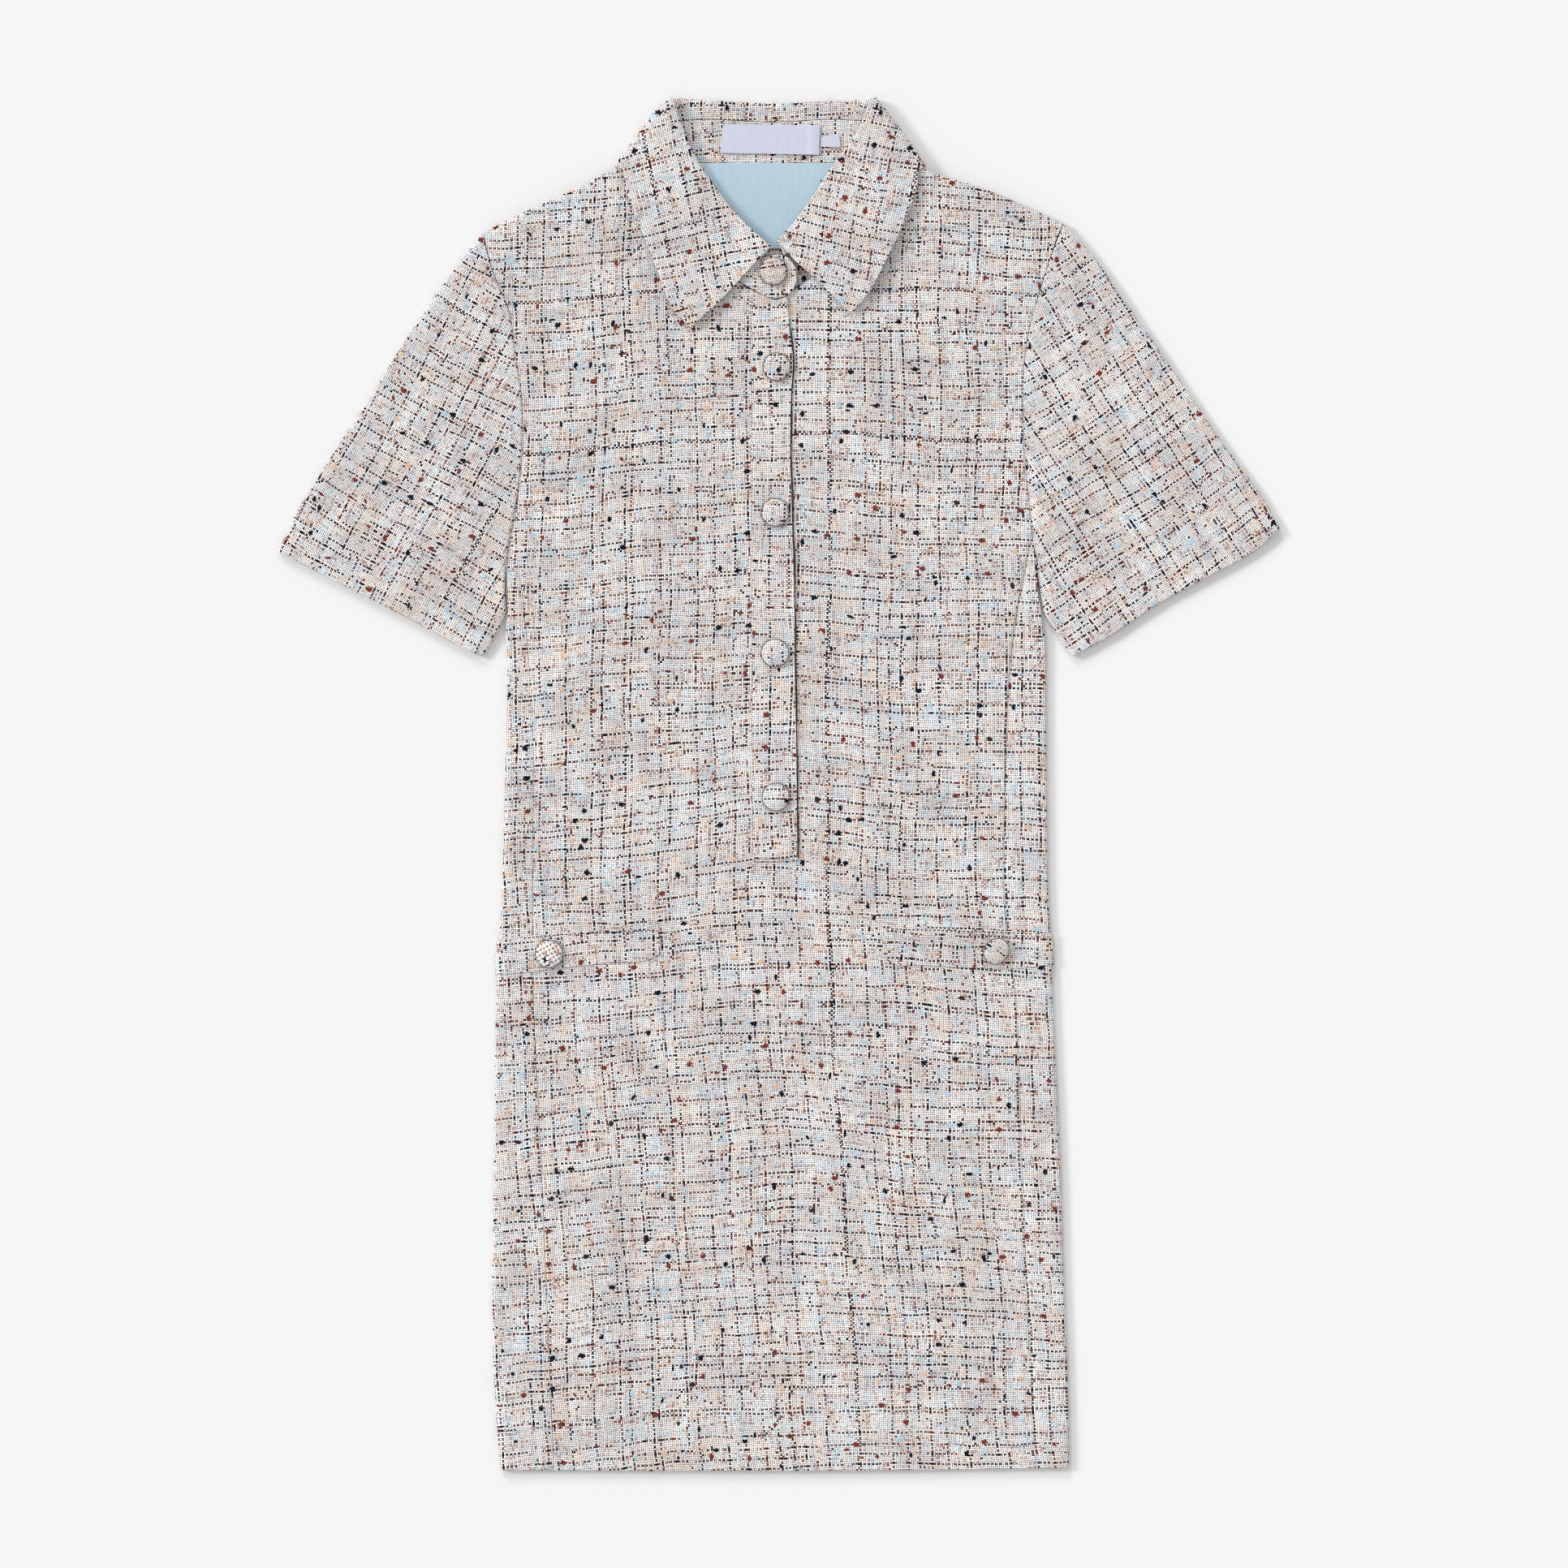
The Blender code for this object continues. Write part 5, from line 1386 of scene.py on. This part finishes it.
def slubs(name, every, seed):
    """Raised lumps of yarn on the upper side of a sheet, one for so many square millimetres."""
    top, normal = tops[name]
    rng = np.random.default_rng(seed)
    corner = top[:-1, :-1]
    across, down = top[:-1, 1:] - corner, top[1:, :-1] - corner
    area = np.linalg.norm(np.cross(across, down), axis=-1)
    seen = (normal[:-1, :-1, 2] > LUMPS_LEVEL) & (corner[..., 2] > LUMPS_ABOVE)
    area = np.where(seen, area, 0.0)
    count = int(area.sum() / every)
    chosen = rng.choice(area.size, size=count, p=(area / area.sum()).ravel())
    cell = np.unravel_index(chosen, area.shape)
    share = rng.random((2, count, 1))
    spots = corner[cell] + share[0] * across[cell] + share[1] * down[cell]
    tilts = normal[cell]
    shape, shape_faces = lump_shape()
    vertices, faces, kinds = [], [], []
    for k, spot in enumerate(spots):
        kind = int(np.searchsorted(LUMP_KINDS, rng.random()))
        size = np.array([rng.uniform(1.2, 2.5), rng.uniform(0.8, 1.35), rng.uniform(0.35, 0.6)])
        size *= LUMP_SIZES[kind]
        rough = 1.0 + 0.38 * np.sin(shape @ rng.normal(size=(3, 1)) * 3.2 + rng.uniform(0, 6))
        lump = shape * rough * size
        angle = rng.choice((0.0, 90.0)) + rng.normal() * 12.0
        cosine, sine = math.cos(math.radians(angle)), math.sin(math.radians(angle))
        x = lump[:, 0] * cosine - lump[:, 1] * sine
        y = lump[:, 0] * sine + lump[:, 1] * cosine
        tilt = tilts[k]
        flat = np.stack([x, y, lump[:, 2] - (x * tilt[0] + y * tilt[1]) / tilt[2]], axis=1)
        faces += [tuple(k * len(shape) + i for i in face) for face in shape_faces]
        kinds += [kind] * len(shape_faces)
        vertices.append(flat + spot)
    item = round_mesh(name + "_slubs", np.concatenate(vertices), faces, kinds, lump_yarns)
    return item


# ---------------------------------------------------------------- build

main = tweed("tweed")
button_cloth = tweed("tweed_button", 1.0, (14.0, 9.0))
bold = tweed("tweed_bold", 2.0, (8.0, 8.0))
silk = satin("lining", (0.43, 0.58, 0.68))
label_cloth = satin("label", (0.575, 0.60, 0.725))
lump_yarns = tuple(lump_yarn("slub_" + name, color) for name, color in (
    ("navy", NAVY), ("rust", RUST), ("peach", LUMP_PEACH), ("blue", LUMP_BLUE)))
pale_thread = lump_yarn("thread_pale", (0.74, 0.69, 0.64))
dark_thread = lump_yarn("thread_dark", (0.045, 0.028, 0.030))
# partly painted shade: this near-black yarn stands in for the shadow in the gap under the placket's
# free edge, and partly for that edge's own dark yarn
edge_yarn_and_shade = lump_yarn("thread_edge_and_shade", (0.040, 0.026, 0.022))
brown_thread = lump_yarn("thread_brown", (0.26, 0.18, 0.16))
ring_metal = plain("button_ring", (0.17, 0.135, 0.09), 0.4, metallic=0.35)

SLEEVE_GRAIN = {"left": -28.0, "right": 33.0}       # degrees
BAND_GRAIN = {"left": 5.0, "right": -3.0}
BAND_WALL = 0.95        # the bands and the placket lie thinner and lower than their solids
BAND_DROP = 1.15
PLACKET_WALL = 1.4
PLACKET_DROP = 0.75
STRAIGHT = 0.001        # a grain so small that it only keeps the bow of the body away
FINE = 3.0              # longest facet of the small pieces
LABEL_WALL = 0.45
LINING_RISE = 1.7       # the lining's top goes so much further up
RIDGE = (1.5, 500.5, 4.5)       # ridge of the collar behind the neck: height, y and half width
TRIM_FROM = 489.5
TRIM_REACH = 11.0
# How far the collar's rolled edge behind the neck moves up the picture, by place across
ROLL_TRIM = ((-84.0, -82.0, -79.0, -77.0, -75.0, -73.0, -71.0, -68.0, -64.0, -60.0, -52.0, 25.0,
              41.0, 48.0, 54.0, 59.0, 62.0, 65.0, 67.0, 69.0, 72.0),
             (0.0, 0.4, 2.0, 3.2, 3.0, 2.1, 1.2, 0.2, -1.0, -0.7, 0.0, 0.0,
              -1.0, -1.6, -1.4, -0.2, 0.9, 1.6, 1.3, 0.1, 0.0))


def collar_grain(points):
    """The grain follows each leaf, and runs level behind the neck."""
    x, y = points[..., 0], points[..., 1]
    behind = (y > 489.0) & (x > -68.0) & (x < 58.0)
    return np.where(behind, 1.0, np.where(x < -5.0, 12.5, -12.0))


def build_cloth():
    body_panel("front", main)
    body_panel("back", main)
    for side in SIGN:
        on_panels("side_panel_" + side, side_panel_grid(side), main, crisp=4.0)
        ring = refined(sleeve_grid(side), tube=True)
        shell("sleeve_" + side, crumpled(with_rim(ring, 0)), WALL, main, SLEEVE_GRAIN[side],
              tube=True, offset=(317.0, 59.0))
        band = band_grid(side)
        band[..., 2] -= BAND_DROP
        on_panels("pocket_band_" + side, band, main, BAND_GRAIN[side], offset=(41.0, 733.0),
                  wall=BAND_WALL, step=2.5)
    collar = collar_grid()
    x, y, z = collar[..., 0], collar[..., 1], collar[..., 2]
    height, middle, half_width = RIDGE
    z += height * ease((z - 1.0) / 3.0) * np.exp(-((y - middle) / half_width) ** 2)
    y += np.interp(x, *ROLL_TRIM) * ease((y - TRIM_FROM) / TRIM_REACH)
    on_panels("collar", collar, main, collar_grain, offset=(531.0, 211.0), step=FINE)
    on_panels("collar_stand", stand_grid(), main, offset=(77.0, 391.0), step=FINE)
    plan = between(*(smooth_line(line, even(PLACKET_ROWS))
                     for line in (PLACKET_LEFT, PLACKET_FREE)), 3)
    plan[0, :, 1] = np.interp(plan[0, :, 0], *PLACKET_TOP)
    strip = panel_of(plan, lying_on(front_level, BAND), FINE)
    across = even(strip.shape[1] - 1)
    curl = ease(across * 2.2 - 1.2) * across ** 4
    strip[..., 2] += (0.6 + 0.35 * np.sin(strip[..., 1] / 17.0)) * curl - PLACKET_DROP
    shell("placket", crumpled(strip), PLACKET_WALL, main, STRAIGHT, offset=(883.0, 17.0))
    lining = between(*(smooth_line(LINING[side], even(6)) for side in SIGN), 8)
    lining[0, :, 1] += LINING_RISE
    lining[..., 1] = np.maximum(lining[..., 1], LINING_END)
    on_panels("neck_lining", leveled(lining, lying_on(back_level, SILK)), silk, wall=THIN,
              step=FINE)
    for name, corners in (("size_tag", TAG_CORNERS), ("neck_label", LABEL_CORNERS)):
        shell(name, label_grid(name, corners), LABEL_WALL, label_cloth)


BUTTON_GRAINS = (10.0, 0.0, -4.0, 5.0, 2.0, 30.0, -35.0)       # degrees, in the table's order


def build_buttons():
    for row, grain in zip(BUTTONS, BUTTON_GRAINS):
        cover = bold if row[0] == "button_pocket_left" else button_cloth
        button(*row, cover, ring_metal, grain)


STITCHES_TOP = 1.68     # top of the placket and of the bands above the cloth of the front
BAND_TOP = 0.98
CUFF_HEM = 9.0          # from the cuff's edge to its stitches


def build_stitches():
    """Rows of stitches, by the sheet that they hold."""
    fold = np.array(PLACKET_LEFT)
    y = np.linspace(350.0, -55.0, 200)
    x = np.interp(-y, -fold[:, 1], fold[:, 0]) + 0.3
    seam = stitches("placket_stitches", on_front(x, y, STITCHES_TOP - 0.35), brown_thread,
                    radius=0.26)
    free = np.array(PLACKET_FREE)
    # partly painted shade: a dark yarn along the free edge stands in for the shadow in the gap
    # under it, and partly for the edge's own dark yarn
    y = np.linspace(348.0, -56.0, 300)
    x = np.interp(-y, -free[:, 1], free[:, 0]) + 0.55 + 0.3 * np.sin(y / 8.0)
    edge = stitches("placket_edge_yarn_and_shade", on_front(x, y, 0.9), edge_yarn_and_shade, pitch=2.6,
                    length=3.0, radius=0.52, zigzag=0.14)
    x = np.linspace(-18.5, 8.0, 40)
    end = stitches("placket_end_stitches", on_front(x, np.full(40, -55.2), STITCHES_TOP),
                   brown_thread, pitch=1.7, length=1.7, radius=0.24, zigzag=0.55)
    rows = {"placket": [seam, edge, end]}
    for side in SIGN:
        table = np.array(POCKET_BAND[side])
        x = np.linspace(table[1, 0], table[-2, 0], 80)
        order = np.argsort(table[:, 0])
        y = np.interp(x, table[order, 0], table[order, 1]) - 1.3
        rows["pocket_band_" + side] = [stitches("pocket_stitches_" + side,
                                                on_front(x, y, BAND_TOP), dark_thread,
                                                pitch=3.1, length=1.9, radius=0.36)]
        line = smooth_line(CUFF[side], even(100))
        line = (line - SIGN[side] * left_normals(line) * CUFF_HEM)[4:-6]
        rows["sleeve_" + side] = [stitches("cuff_stitches_" + side,
                                           on_front(line[:, 0], line[:, 1], 0.02), pale_thread,
                                           pitch=3.4, length=1.6, radius=0.2)]
    return rows


# Sheets with lumps, and the cloth for each lump in square millimetres
SLUB_SHEETS = (("front", 1500.0), ("side_panel_left", 1500.0), ("side_panel_right", 1500.0),
               ("sleeve_left", 1400.0), ("sleeve_right", 1400.0), ("collar", 1500.0))
SLUB_SEED = 40


def build_slubs(rows):
    for seed, (name, every) in enumerate(SLUB_SHEETS, SLUB_SEED):
        rows.setdefault(name, []).append(slubs(name, every, seed))
    return rows


# Name, strength, width, direction that it comes from in plan and height above the horizon, degrees
SUNS = (("key", 1.57, 14.0, 160.0, 30.0), ("top", 1.0, 22.0, 112.0, 30.0))
SKY = 0.745             # brightness of the white world
FLOOR_RADIUS = 14.0     # metres, like the next three
FLOOR_LEVEL = -0.0003
VIEW_WIDTH = 1.1592
VIEW_FROM = (0.0036, 0.0, 4.0)
SENSOR = 36.0


def build_stage():
    mesh = bpy.data.meshes.new("floor")
    turns = [2 * math.pi * k / SIDES for k in range(SIDES)]
    ring = [(FLOOR_RADIUS * math.cos(turn), FLOOR_RADIUS * math.sin(turn), FLOOR_LEVEL)
            for turn in turns]
    mesh.from_pydata(ring, [], [tuple(range(SIDES))])
    mesh.materials.append(plain("floor", (0.80, 0.80, 0.80), 0.95))
    floor = bpy.data.objects.new("floor", mesh)
    bpy.context.scene.collection.objects.link(floor)
    for name, energy, spread, way, height in SUNS:
        light = bpy.data.lights.new(name, "SUN")
        light.energy = energy
        light.angle = math.radians(spread)
        lamp = bpy.data.objects.new(name, light)
        lamp.rotation_euler = (math.radians(90.0 - height), 0.0, math.radians(way + 90.0))
        bpy.context.scene.collection.objects.link(lamp)
    world = bpy.data.worlds.new("studio")
    world.use_nodes = True
    background = world.node_tree.nodes["Background"]
    background.inputs[0].default_value = (1.0, 1.0, 1.0, 1.0)
    background.inputs[1].default_value = SKY
    bpy.context.scene.world = world
    camera = bpy.data.cameras.new("camera")
    camera.sensor_width = SENSOR
    camera.lens = SENSOR * VIEW_FROM[2] / VIEW_WIDTH
    bpy.context.scene.cycles.filter_width = 1.0
    bpy.context.scene.cycles.use_denoising = False
    view = bpy.data.objects.new("camera", camera)
    view.location = VIEW_FROM
    bpy.context.scene.collection.objects.link(view)
    bpy.context.scene.camera = view
    bpy.context.scene.view_settings.view_transform = "Standard"


build_cloth()
build_buttons()
build_slubs(build_stitches())
build_stage()
